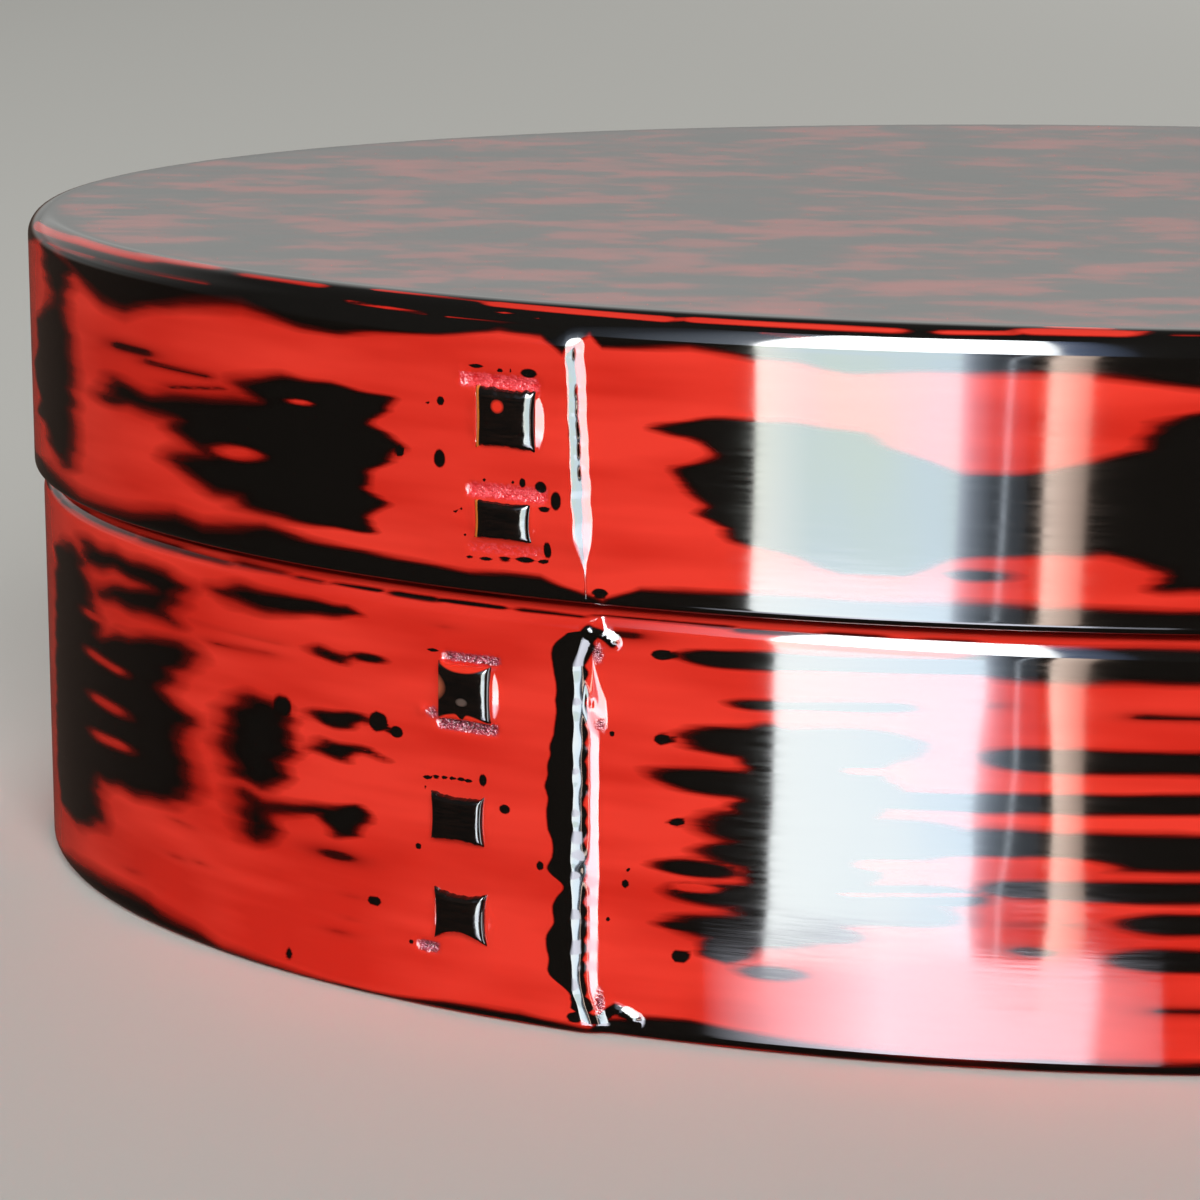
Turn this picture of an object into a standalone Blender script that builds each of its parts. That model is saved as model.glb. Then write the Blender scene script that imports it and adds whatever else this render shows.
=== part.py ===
"""Oval lacquer box of bent wood: a case and a lift-off lid.

Each wall is one thin board, bent into an oval, lapped over itself and sewn with a strip of cherry bark.
Metres, +Z up, the origin at the middle of the underside. +X runs along the oval and -Y is the front.
"""
import math

import bmesh
import bpy
import numpy as np
from mathutils import Matrix, Vector

# Case: the outside of the plain wall, away from the lap
case_length = 0.200
case_width = 0.132
case_height = 0.0349
case_wall = 0.0030
base_thickness = 0.0040

# Lid: it stands out a little past the case all round
lid_height = 0.0228
lid_overhang = 0.0008
lid_board_thickness = 0.0040

# Locating rim: the thin inner oval that the lid drops over
rim_wall = 0.0026
rim_stand = 0.0060
rim_seat_depth = 0.0100
lid_play = 0.0005

# Lap: the outer end thins to a tip and is glued over the inner end, which thins the same way
seam_angle = math.radians(-31.0)
lap_length = 0.0400
tip_thickness = 0.0010
tip_round = 0.0004
tip_round_share = 0.5
glue_line = 0.00015
step_run_in = 0.0020

# Bark stitch: a strip that runs in and out through slits in both layers of the lap
bark_width = 0.0050
bark_thickness = 0.0006
bark_dome = 0.0004
bark_gap = 0.0002
bark_bend_share = 0.85
tail_share = 0.50
slit_clearance = 0.0003
case_stitch_setback = 0.0102
lid_stitch_setback = 0.0062
# each stitch seen from outside, top first: its middle and its length, as shares of the clear wall height
case_stitch_shares = ((0.739, 0.180), (0.398, 0.165), (0.136, 0.165))
lid_stitch_shares = ((0.745, 0.298), (0.324, 0.235))

# Rounded edges
case_top_radius = 0.0019
case_foot_radius = 0.0010
lid_top_radius = 0.0021
lid_foot_radius = 0.0006
rim_top_radius = 0.0010
inner_edge_radius = 0.0005
outer_corner_share = 0.6
inner_corner_share = 0.3
covered_rounding_share = 0.2
covered_rounding_end_share = 0.17

# Clearance between pieces that touch on the real box
seat_gap = 0.0003
cut_overrun = 0.0020

# Facets
around_steps = 96
lap_steps = 12
outer_corner_steps = 3
inner_corner_steps = 1
bend_steps = 3
dome_steps = 6
walk_steps = 4001

# The lid's wall is as thick as leaves the play between it and the locating rim
lid_wall = lid_overhang + case_wall + seat_gap - lid_play
# How far the outer end stands out at the seam, and the inner end stands in at its own tip
jut = tip_thickness + glue_line
parting_height = case_height + seat_gap
half_length = case_length / 2
half_width = case_width / 2

# Colours as linear red, green, blue
red_lacquer = (0.66, 0.033, 0.018, 1.0)
deep_red_lacquer = (0.34, 0.018, 0.012, 1.0)
polished_through = (0.075, 0.014, 0.011, 1.0)
black_lacquer = (0.006, 0.005, 0.005, 1.0)


def start_empty():
    """Remove whatever the scene holds."""
    for old in list(bpy.data.objects):
        bpy.data.objects.remove(old, do_unlink=True)


def make_collection(name):
    collection = bpy.data.collections.new(name)
    bpy.context.scene.collection.children.link(collection)
    return collection


def lacquer(name, colour, roughness):
    """A glossy lacquer: one Principled shader with the part's own colour."""
    material = bpy.data.materials.new(name)
    material.use_nodes = True
    shader = material.node_tree.nodes["Principled BSDF"]
    shader.inputs["Base Color"].default_value = colour
    shader.inputs["Roughness"].default_value = roughness
    shader.inputs["Metallic"].default_value = 0.0
    return material


def oval_point(angle, offset, height):
    """Point at an angle from the front, positive toward +X, this far outside the case's plain wall."""
    on_oval = Vector((half_length * math.sin(angle), -half_width * math.cos(angle), height))
    return on_oval + oval_outward(angle) * offset


def oval_outward(angle):
    """Unit normal of the oval, pointing out."""
    return Vector((math.sin(angle) / half_length, -math.cos(angle) / half_width, 0.0)).normalized()


def angle_along(start, distance):
    """Angle reached by walking this far along the oval from start; a negative distance walks left."""
    angles = start + np.linspace(0.0, math.copysign(math.tau, distance), walk_steps)
    speeds = np.hypot(half_length * np.cos(angles), half_width * np.sin(angles))
    steps = (speeds[1:] + speeds[:-1]) / 2 * np.abs(np.diff(angles))
    travelled = np.concatenate(([0.0], np.cumsum(steps)))
    return float(np.interp(abs(distance), travelled, angles))


def lap_angles():
    """Angles of the stations across the lap, from the seam edge to the inner tip."""
    lap_end = angle_along(seam_angle, -lap_length)
    return [float(angle) for angle in np.linspace(seam_angle, lap_end, lap_steps + 1)]


def plain_angles():
    """Angles of the stations round the single wall, from the inner tip the long way to the seam edge."""
    lap_end = lap_angles()[-1]
    return [float(angle) for angle in np.linspace(lap_end, seam_angle - math.tau, around_steps + 1)]


def section(station, height, foot_radius, top_radius):
    """Upright slice of a wall as a loop of points, with its four edges rounded.

    A station is (angle, outer offset, inner offset, share of the outer rounding that it keeps).
    """
    angle, outer, inner, rounding_share = station
    thickness = outer - inner
    foot = min(foot_radius * rounding_share, outer_corner_share * thickness)
    top = min(top_radius * rounding_share, outer_corner_share * thickness)
    inside = min(inner_edge_radius, inner_corner_share * thickness)
    corners = (
        (outer - foot, foot, foot, -90.0, outer_corner_steps),
        (outer - top, height - top, top, 0.0, outer_corner_steps),
        (inner + inside, height - inside, inside, 90.0, inner_corner_steps),
        (inner + inside, inside, inside, 180.0, inner_corner_steps),
    )
    loop = []
    for offset, level, radius, first_degrees, steps in corners:
        for step in range(steps + 1):
            turn = math.radians(first_degrees + 90.0 * step / steps)
            out = offset + radius * math.cos(turn)
            up = level + radius * math.sin(turn)
            loop.append(oval_point(angle, out, up))
    return loop


def loft(name, loops, closes_on_itself):
    """Skin a row of equal loops; the two end loops become faces unless the row closes on itself."""
    shape = bmesh.new()
    rings = [[shape.verts.new(point) for point in loop] for loop in loops]
    pairs = list(zip(rings, rings[1:]))
    if closes_on_itself:
        pairs.append((rings[-1], rings[0]))
    else:
        shape.faces.new(rings[0])
        shape.faces.new(rings[-1])
    for first, second in pairs:
        for place in range(len(first)):
            following = (place + 1) % len(first)
            shape.faces.new((first[place], first[following], second[following], second[place]))
    bmesh.ops.recalc_face_normals(shape, faces=shape.faces)
    mesh = bpy.data.meshes.new(name)
    shape.to_mesh(mesh)
    shape.free()
    return mesh


def add_object(name, data, collection, parent, material=None):
    thing = bpy.data.objects.new(name, data)
    collection.objects.link(thing)
    thing.parent = parent
    if material:
        data.materials.append(material)
    return thing


def shade_round(thing):
    """Smooth shading with the corners left sharp."""
    thing.data.shade_smooth()
    thing.data.set_sharp_from_angle(angle=math.radians(40.0))


def band_stations(outer, wall):
    """Slices of a lapped band: the outer tip, the outer layer, once round, then the inner layer.

    Across the lap the outer layer thins toward the seam edge and the inner layer thins toward its own
    tip. What the two add to a single wall stands out at the seam edge and in at the inner tip. Under
    the outer layer the inner one's edges lose most of their rounding, so the pair closes at the rims.
    """
    lap = lap_angles()
    under_tip = outer + glue_line
    rounded_end = angle_along(seam_angle, tip_round)
    stations = [(rounded_end, under_tip + tip_thickness * tip_round_share, under_tip, 1.0)]
    for step, angle in enumerate(lap):
        share = step / lap_steps
        top = outer + jut * (1 - share)
        thickness = tip_thickness + (wall - tip_thickness) * share
        stations.append((angle, top, top - thickness, 1.0))
    for angle in plain_angles()[1:-1]:
        stations.append((angle, outer, outer - wall, 1.0))
    for step, angle in enumerate(lap):
        share = step / lap_steps
        top = outer - (wall + glue_line) * share
        thickness = wall - (wall - tip_thickness) * share
        rounding_share = max(1 - share / covered_rounding_end_share, covered_rounding_share)
        stations.append((angle - math.tau, top, top - thickness, rounding_share))
    return stations


def lapped_band(name, outer, wall, height, radii, collection, parent, material):
    """A board bent into the oval with its ends scarfed and lapped, one over the other."""
    foot_radius, top_radius = radii
    loops = [section(station, height, foot_radius, top_radius) for station in band_stations(outer, wall)]
    band = add_object(name, loft(name, loops, False), collection, parent, material)
    shade_round(band)
    return band


def inside_stations():
    """Angle and inward bulge for what follows the inside of a lapped band, once round."""
    lap = lap_angles()
    stations = [(angle, jut * step / lap_steps) for step, angle in enumerate(lap)]
    past_tip = angle_along(lap[-1], -seat_gap)
    run_in_end = angle_along(lap[-1], -(seat_gap + step_run_in))
    stations.append((past_tip, jut))
    stations.append((run_in_end, 0.0))
    stations += [(angle, 0.0) for angle in plain_angles()[1:-1] if angle < run_in_end]
    return stations


def oval_board(name, offset, thickness, collection, parent, material):
    """A flat board cut to the inside of a band, its underside at the parent's zero."""
    outline = bpy.data.curves.new(name, "CURVE")
    outline.dimensions = "2D"
    outline.fill_mode = "BOTH"
    outline.extrude = thickness / 2
    stations = inside_stations()
    spline = outline.splines.new("POLY")
    spline.points.add(len(stations) - 1)
    for point, (angle, bulge) in zip(spline.points, stations):
        place = oval_point(angle, offset - bulge, 0.0)
        point.co = (place.x, place.y, 0.0, 1.0)
    spline.use_cyclic_u = True
    board = add_object(name, outline, collection, parent, material)
    board.location.z = thickness / 2
    return board


def stitch_frame(setback, outer):
    """Place and turn of a stitch: local X out of the wall, Y up, the origin on the wall's outer face.

    The lapped wall's faces slope a little against the oval, and the stitch lies along them.
    """
    angle = angle_along(seam_angle, -setback)
    share = (seam_angle - angle) / (seam_angle - lap_angles()[-1])
    origin = oval_point(angle, outer + jut * (1 - share), 0.0)
    outward = oval_outward(angle)
    along = Vector((-outward.y, outward.x, 0.0))
    slope = math.atan2(jut, lap_length)
    face_out = outward * math.cos(slope) - along * math.sin(slope)
    up = Vector((0.0, 0.0, 1.0))
    turn = Matrix((face_out, up, face_out.cross(up))).transposed().to_4x4()
    return Matrix.Translation(origin) @ turn


def stitch_levels(shares, low, high):
    """Heights of the upper and lower slit of each outside stitch, top first."""
    clear = high - low
    return [(low + (middle + length / 2) * clear, low + (middle - length / 2) * clear)
            for middle, length in shares]


def rounded_path(corners, radius):
    """The same path with an arc in place of each corner but the first and last point."""
    path = [corners[0]]
    for before, corner, after in zip(corners, corners[1:], corners[2:]):
        back = (before - corner).normalized()
        on = (after - corner).normalized()
        if back.dot(on) < -0.5:
            path.append(corner)
            continue
        centre = corner + (back + on) * radius
        for step in range(bend_steps + 1):
            turn = math.pi / 2 * step / bend_steps
            path.append(centre - on * radius * math.cos(turn) - back * radius * math.sin(turn))
    path.append(corners[-1])
    return path


def thick_outline(path, thickness):
    """Closed outline of a strip of even thickness that follows a path."""
    left = []
    right = []
    for place, point in enumerate(path):
        before = path[max(place - 1, 0)]
        after = path[min(place + 1, len(path) - 1)]
        arriving = (point - before).normalized() if place else (after - point).normalized()
        leaving = (after - point).normalized() if place < len(path) - 1 else arriving
        side = Vector((-(arriving + leaving).y, (arriving + leaving).x)).normalized()
        flat_side = Vector((-arriving.y, arriving.x))
        reach = thickness / 2 / side.dot(flat_side)
        left.append(point + side * reach)
        right.append(point - side * reach)
    return left + right[::-1]


def stitch_path(levels, wall_depth):
    """Middle line of the woven strip seen from its edge: X out of the wall, Y up.

    It starts and ends with a tail tucked behind the wall, and swells a little over each outside stitch.
    """
    outside = bark_gap + bark_thickness / 2
    inside = -wall_depth - bark_gap - bark_thickness / 2
    bend = bark_thickness * bark_bend_share
    first_upper, first_lower = levels[0]
    corners = [Vector((inside, first_upper - (first_upper - first_lower) * tail_share))]
    for upper, lower in levels:
        corners.append(Vector((inside, upper)))
        corners.append(Vector((outside, upper)))
        for step in range(1, dome_steps):
            share = step / dome_steps
            swell = bark_dome * math.sin(math.pi * share)
            level = upper - bend + (lower - upper + 2 * bend) * share
            corners.append(Vector((outside + swell, level)))
        corners.append(Vector((outside, lower)))
        corners.append(Vector((inside, lower)))
    last_upper, last_lower = levels[-1]
    corners.append(Vector((inside, last_lower + (last_upper - last_lower) * tail_share)))
    return rounded_path(corners, bend)


def bark_stitch(name, frame, levels, wall_depth, collection, parent, material):
    """The strip of cherry bark that sews one lap."""
    strip = bpy.data.curves.new(name, "CURVE")
    strip.dimensions = "2D"
    strip.fill_mode = "BOTH"
    strip.extrude = bark_width / 2
    outline = thick_outline(stitch_path(levels, wall_depth), bark_thickness)
    spline = strip.splines.new("POLY")
    spline.points.add(len(outline) - 1)
    for point, place in zip(spline.points, outline):
        point.co = (place.x, place.y, 0.0, 1.0)
    spline.use_cyclic_u = True
    stitch = add_object(name, strip, collection, parent, material)
    stitch.matrix_local = frame
    return stitch


def box_cutter(name, boxes, collection, parent):
    """One hidden cutter made of boxes, each given by its matrix."""
    shape = bmesh.new()
    for box in boxes:
        bmesh.ops.create_cube(shape, size=1.0, matrix=box)
    mesh = bpy.data.meshes.new(name)
    shape.to_mesh(mesh)
    shape.free()
    cutter = add_object(name, mesh, collection, parent)
    cutter.hide_render = True
    cutter.display_type = "WIRE"
    return cutter


def cut(thing, cutter):
    modifier = thing.modifiers.new(cutter.name, "BOOLEAN")
    modifier.operation = "DIFFERENCE"
    modifier.solver = "EXACT"
    modifier.object = cutter


def cut_slits(band, frame, levels, wall_depth, collection, parent):
    """Cut the slits that the stitch passes through, two for each outside stitch."""
    depth = wall_depth + 2 * cut_overrun
    size = Matrix.Diagonal((depth, bark_thickness + 2 * slit_clearance, bark_width + 2 * slit_clearance, 1.0))
    boxes = [frame @ Matrix.Translation((-wall_depth / 2, level, 0.0)) @ size
             for pair in levels for level in pair]
    cut(band, box_cutter(band.name + "_slit_cutter", boxes, collection, parent))


def cut_rim_relief(rim, collection, parent):
    """Thin the locating rim where the backs of both stitches pass it, over its whole height."""
    depth = bark_gap + bark_thickness + seat_gap
    near = min(case_stitch_setback, lid_stitch_setback)
    far = max(case_stitch_setback, lid_stitch_setback)
    width = far - near + bark_width + 2 * seat_gap + 2 * slit_clearance
    rim_height = rim_seat_depth + rim_stand
    middle = stitch_frame((near + far) / 2, 0.0)
    to_rim = -(case_wall + jut + seat_gap)
    size = Matrix.Diagonal((depth + cut_overrun, rim_height + 2 * cut_overrun, width, 1.0))
    box = middle @ Matrix.Translation((to_rim + (cut_overrun - depth) / 2, rim_height / 2, 0.0)) @ size
    cut(rim, box_cutter(rim.name + "_relief_cutter", [box], collection, parent))


def locating_rim(collection, cutters, case, material):
    """Thin closed oval, glued inside the top of the case, that stands up and holds the lid in place."""
    outer = -case_wall - seat_gap
    height = rim_seat_depth + rim_stand
    stations = [(angle, outer - bulge, outer - bulge - rim_wall, 1.0) for angle, bulge in inside_stations()]
    loops = [section(station, height, inner_edge_radius, rim_top_radius) for station in stations]
    rim = add_object("locating_rim", loft("locating_rim", loops, True), collection, case, material)
    rim.location.z = case_height - rim_seat_depth
    shade_round(rim)
    cut_rim_relief(rim, cutters, rim)
    return rim


def build_case(collection, cutters):
    case = add_object("case", None, collection, None)
    red = lacquer("case_red_lacquer", red_lacquer, 0.08)
    black = lacquer("case_black_bark", black_lacquer, 0.10)
    dark = lacquer("base_dark_lacquer", polished_through, 0.12)
    inner_red = lacquer("rim_deep_red_lacquer", deep_red_lacquer, 0.12)
    radii = (case_foot_radius, case_top_radius)
    band = lapped_band("case_side_band", 0.0, case_wall, case_height, radii, collection, case, red)
    wall_depth = case_wall + jut
    frame = stitch_frame(case_stitch_setback, 0.0)
    levels = stitch_levels(case_stitch_shares, base_thickness, case_height)
    cut_slits(band, frame, levels, wall_depth, cutters, case)
    bark_stitch("case_bark_stitch", frame, levels, wall_depth, collection, case, black)
    oval_board("base_board", -case_wall - seat_gap, base_thickness, collection, case, dark)
    locating_rim(collection, cutters, case, inner_red)
    return case


def build_lid(collection, cutters):
    lid = add_object("lid", None, collection, None)
    lid.location.z = parting_height
    red = lacquer("lid_red_lacquer", red_lacquer, 0.08)
    black = lacquer("lid_black_bark", black_lacquer, 0.10)
    mottled = lacquer("lid_polished_through_lacquer", polished_through, 0.10)
    radii = (lid_foot_radius, lid_top_radius)
    band = lapped_band("lid_side_band", lid_overhang, lid_wall, lid_height, radii, collection, lid, red)
    wall_depth = lid_wall + jut
    frame = stitch_frame(lid_stitch_setback, lid_overhang)
    levels = stitch_levels(lid_stitch_shares, 0.0, lid_height - lid_board_thickness)
    cut_slits(band, frame, levels, wall_depth, cutters, lid)
    bark_stitch("lid_bark_stitch", frame, levels, wall_depth, collection, lid, black)
    inset = lid_overhang - lid_wall - seat_gap
    board = oval_board("lid_top_board", inset, lid_board_thickness, collection, lid, mottled)
    board.location.z = lid_height - lid_board_thickness / 2
    return lid


start_empty()
parts = make_collection("oval_lacquer_box")
cutter_parts = make_collection("oval_lacquer_box_cutters")
build_case(parts, cutter_parts)
build_lid(parts, cutter_parts)
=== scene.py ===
# %% [markdown]
# An oval box of bentwood, lacquered red over black
#
# Each wall of the real box is one thin board, steamed and bent into an oval, lapped over itself and sewn
# with a strip of cherry bark. Black lacquer goes on first and red over it, and the whole is rubbed down
# until black shows through in streaks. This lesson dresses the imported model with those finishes, one piece
# at a time.


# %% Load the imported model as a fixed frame
import math
import random
from functools import partialmethod

import bmesh
import bpy
import numpy as np
from mathutils import Matrix, Vector


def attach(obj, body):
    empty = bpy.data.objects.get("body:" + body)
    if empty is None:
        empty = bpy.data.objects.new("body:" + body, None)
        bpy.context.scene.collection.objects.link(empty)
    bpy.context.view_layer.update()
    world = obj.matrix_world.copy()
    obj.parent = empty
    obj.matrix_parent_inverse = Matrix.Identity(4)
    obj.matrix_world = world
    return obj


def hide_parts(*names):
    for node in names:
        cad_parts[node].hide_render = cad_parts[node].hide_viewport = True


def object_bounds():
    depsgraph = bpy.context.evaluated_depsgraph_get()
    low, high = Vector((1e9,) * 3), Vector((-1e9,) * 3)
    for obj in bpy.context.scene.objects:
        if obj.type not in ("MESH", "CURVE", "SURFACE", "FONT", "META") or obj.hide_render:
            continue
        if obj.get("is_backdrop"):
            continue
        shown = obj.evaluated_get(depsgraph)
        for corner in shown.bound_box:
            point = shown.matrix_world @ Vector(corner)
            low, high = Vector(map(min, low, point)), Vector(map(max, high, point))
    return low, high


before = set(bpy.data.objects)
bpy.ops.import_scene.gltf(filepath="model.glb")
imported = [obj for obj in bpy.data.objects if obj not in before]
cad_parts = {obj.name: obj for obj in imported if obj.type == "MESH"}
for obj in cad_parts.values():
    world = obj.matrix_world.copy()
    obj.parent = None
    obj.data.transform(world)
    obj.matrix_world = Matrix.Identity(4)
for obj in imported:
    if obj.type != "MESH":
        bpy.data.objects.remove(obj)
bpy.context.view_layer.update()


# %% [markdown]
# Sizes
#
# These are the sizes of the real box in millimetres, the same as in the part's source. Places on a wall are
# given by two numbers: how far along the oval from the middle of the front, with minus to the left, and how
# high above the table. That is how a lacquerer would lay a tape round the box to say where a mark is.


# %% Name the box's own sizes, in millimetres
MM = 0.001
HALF_LENGTH, HALF_WIDTH = 100.0, 66.0
CASE_TOP, CASE_WALL = 34.9, 3.0
LID_FOOT, LID_TOP, LID_OUT, LID_WALL = 35.2, 58.0, 0.8, 3.6
BOARD = 4.0
LAP_EDGE, LAP_LENGTH = -53.0, 40.0
RIM_OFFSET, RIM_WALL, RIM_LOW, RIM_HIGH = -3.3, 2.6, 24.9, 40.9
FRONT_START, FRONT_END = -132, 6

angles = np.linspace(-math.pi, math.pi, 14401)
steps = np.hypot(np.diff(HALF_LENGTH * np.sin(angles)), np.diff(HALF_WIDTH * np.cos(angles)))
runs = np.concatenate([[0.0], np.cumsum(steps)])
ROUND = runs[-1]
runs -= ROUND / 2


def oval(along, offset, height):
    """Points in metres on an oval wall: along it and outward from the case's outline, in millimetres."""
    turn = np.interp(along, runs, angles)
    out_x, out_y = np.sin(turn) / HALF_LENGTH, -np.cos(turn) / HALF_WIDTH
    size = np.hypot(out_x, out_y)
    x = HALF_LENGTH * np.sin(turn) + out_x / size * offset
    y = -HALF_WIDTH * np.cos(turn) + out_y / size * offset
    return np.stack([x, y, height + 0 * x], axis=-1) * MM


print("the oval is", round(ROUND, 1), "mm round")


# %% [markdown]
# Stations
#
# A wall is a loft: the same profile set up at many stations round the oval. Stations stand close together
# where the real wall has small forms, which is at the seam and the bark stitches, and further apart
# everywhere else.


# %% Place the stations round the oval
def spread(low, high, step):
    return np.linspace(low, high, max(1, round((high - low) / step)), endpoint=False)


stations = np.concatenate([
    spread(-ROUND / 2, FRONT_START, 2.0), spread(FRONT_START, -69.5, 0.7), spread(-69.5, -55.3, 0.24),
    spread(-55.3, -50.0, 0.09), spread(-50.0, -46.5, 0.24), spread(-46.5, 4, 0.68), spread(4, ROUND / 2, 1.7),
])
print(len(stations), "stations")


# %% [markdown]
# The stitches' places
#
# The bark shows outside as small black cushions, three on the case and two on the lid, and between them it
# runs inside the wall. Lacquer has sunk into the slits above and below each cushion. One list of their
# places serves the wall, which rises and sinks round them, and the bark itself.


# %% List the stitches: along, height, half width, half height, and for the slits their depth
CASE_PILLOWS = [(-62.7, 26.95, 2.3, 2.35), (-63.35, 16.55, 2.35, 2.0), (-63.1, 8.45, 2.35, 2.15)]
LID_PILLOWS = [(-58.8, 49.2, 2.6, 2.4), (-59.05, 41.25, 2.45, 1.55)]
CASE_SKIRTS, LID_SKIRTS = [(0.45, 1.3), (0.2, 0.8), (0.32, 0.9)], [(0.42, 1.1), (0.36, 0.6)]
CASE_SLITS = [(-62.2, 29.7, 2.5, 0.34, 0.24), (-62.5, 24.2, 2.7, 0.45, 0.24), (-66.1, 5.4, 1.0, 0.45, 0.24)]
LID_SLITS = [(-59.4, 52.05, 3.4, 0.5, 0.2), (-58.7, 43.5, 3.4, 0.55, 0.2), (-58.9, 38.95, 3.2, 0.48, 0.12)]
FAR_AWAY = 99.0


def smooth(value):
    value = np.clip(value, 0.0, 1.0)
    return value * value * (3 - 2 * value)


def wobble(value, seed, size):
    """A smooth random wave between -1 and 1 that changes over about the given size."""
    picks = random.Random(seed)
    total = 0.0
    for _ in range(5):
        pitch, shift, weight = picks.uniform(0.6, 1.9), picks.uniform(0, 6.28), picks.uniform(0.5, 1.0)
        total = total + weight * np.sin(2 * math.pi * value / size * pitch + shift)
    return total / 2.4


def bump(along, height, s0, z0, wide, high):
    return np.exp(-((along - s0) / wide) ** 2 - ((height - z0) / high) ** 2)


def off_line(x, y, run, rise):
    """How far a place is from a line, when both are counted from the line's start."""
    part = np.clip((x * run + y * rise) / (run * run + rise * rise), 0, 1)
    return np.hypot(x - part * run, y - part * rise)


def path_distance(along, height, path):
    best = np.full(np.shape(along), FAR_AWAY)
    for (s0, z0), (s1, z1) in zip(path, path[1:]):
        best = np.minimum(best, off_line(along - s0, height - z0, s1 - s0, z1 - z0))
    return best


print(len(CASE_PILLOWS), "cushions on the case and", len(LID_PILLOWS), "on the lid")


# %% [markdown]
# The seam's edge
#
# Where the board laps over itself its edge was feathered and filled with lacquer, so the wall steps down
# softly. How steep it is at each distance from the edge decides what it mirrors: the gentle parts catch the
# light as two bright lines, and the steep part between them stays dark. So the step is given by its slopes,
# which are summed.


# %% Describe the step over each seam by its slopes
def fall_of(slopes):
    """Turns pairs of distance across the edge and slope into distances and the height left at each."""
    places = np.linspace(slopes[0][0], slopes[-1][0], 400)
    values = np.interp(places, *zip(*slopes))
    drop = np.concatenate([[0.0], np.cumsum((values[1:] + values[:-1]) / 2 * np.diff(places))])
    return places, drop[-1] - drop


STEEP_SIDE = [(-1.7, 0), (-1.1, 0.08), (-0.93, 0.2), (-0.25, 0.28), (-0.12, 0.44), (0.16, 0.46)]
CASE_FALL = fall_of(STEEP_SIDE + [(0.34, 0.34), (0.45, 0.28), (1.0, 0.2), (1.13, 0.08), (1.8, 0)])
BLOB_FALL = fall_of(STEEP_SIDE + [(0.3, 0.3), (0.4, 0.25), (1.6, 0.22), (1.8, 0.1), (2.3, 0)])
BROAD_FALL = fall_of([(-1.7, 0), (-1.15, 0.1), (-0.95, 0.26), (0, 0.29), (0.95, 0.26), (1.2, 0.1), (1.8, 0)])
LID_FALL = fall_of([(-1.5, 0), (-0.83, 0.1), (-0.65, 0.2), (-0.3, 0.28), (0.3, 0.28), (0.65, 0.2),
                    (0.81, 0.1), (1.5, 0)])
LID_STEP, CASE_STEP = LID_FALL[1][0], CASE_FALL[1][0]
LID_DASHES = [(54.6, 0.3), (51.8, 0.35), (50.9, 0.15), (50.2, 0.2), (48.9, 0.6), (47.3, 0.5), (45.5, 0.35)]
CASE_HOOK = [(-53.35, 29.6), (-53.1, 31.4), (-52.8, 32.6), (-52.3, 33.2), (-51.5, 32.85), (-50.9, 32.5),
             (-50.5, 32.2)]
CASE_LOW_HOOK = [(-53.2, 3.0), (-52.6, 1.8), (-51.9, 1.25), (-51.1, 1.3), (-50.5, 2.0), (-50.0, 2.4),
                 (-49.2, 2.15), (-48.4, 1.7)]


def lap_fade(along):
    return 1 - np.clip((LAP_EDGE - along) / LAP_LENGTH, 0, 1)


def case_edge(height):
    turned = 0.9 * smooth((height - 30) / 3.4) + 1.0 * smooth((4.6 - height) / 4.2)
    return LAP_EDGE + 0.39 + 0.035 * wobble(height, 4, 3.2) + turned


def lid_edge(height):
    return LAP_EDGE + 0.15 - 0.052 * (height - 46) + 0.07 * wobble(height, 8, 4.2)


def across_case_seam(along, height):
    """Distance across the case's edge, whose left side swells in lobes."""
    lobes = 0.87 + 0.09 * np.sin(2 * math.pi * (height + 0.5 * wobble(height, 9, 6)) / 2.9)
    narrow = 1 - 0.6 * smooth((height - 28) / 3)
    away = along - case_edge(height)
    return np.where(away < 0, away / lobes, away / narrow)


# %% Raise the walls at their seams and stitches, and let them wave a little
def stitch_relief(along, height, pillows, skirts, slits):
    """The lacquer runs up to each cushion's sides, with a slope and a reach, and sinks into the slits."""
    total = 0.0 * along
    for (s0, z0, wide, high), (slope, widest) in zip(pillows, skirts):
        far = np.abs(along - s0) - wide
        reach = widest * np.clip(1.05 - ((height - z0) / (high + 0.1)) ** 2, 0.02, 1)
        part = np.clip(1 - np.maximum(far, 0) / reach, 0, 1)
        total = total + smooth((far + 0.3) / 0.15) * slope * reach / 2 * part ** 2
    for s0, z0, wide, high, depth in slits:
        inside = smooth((wide - np.abs(along - s0)) / 0.6 + 0.5)
        total = total - depth * inside * np.exp(-((height - z0) / high) ** 4)
    return total


def hand_bow(along, height, swing, seed, size):
    """A board bent by hand never follows the oval quite truly."""
    far = along + 30
    bow = swing * np.sin(2 * math.pi * far / 110) * np.exp(-(far / 60) ** 2)
    return bow + 0.012 * wobble(along + 0.4 * height, seed, size)


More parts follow.
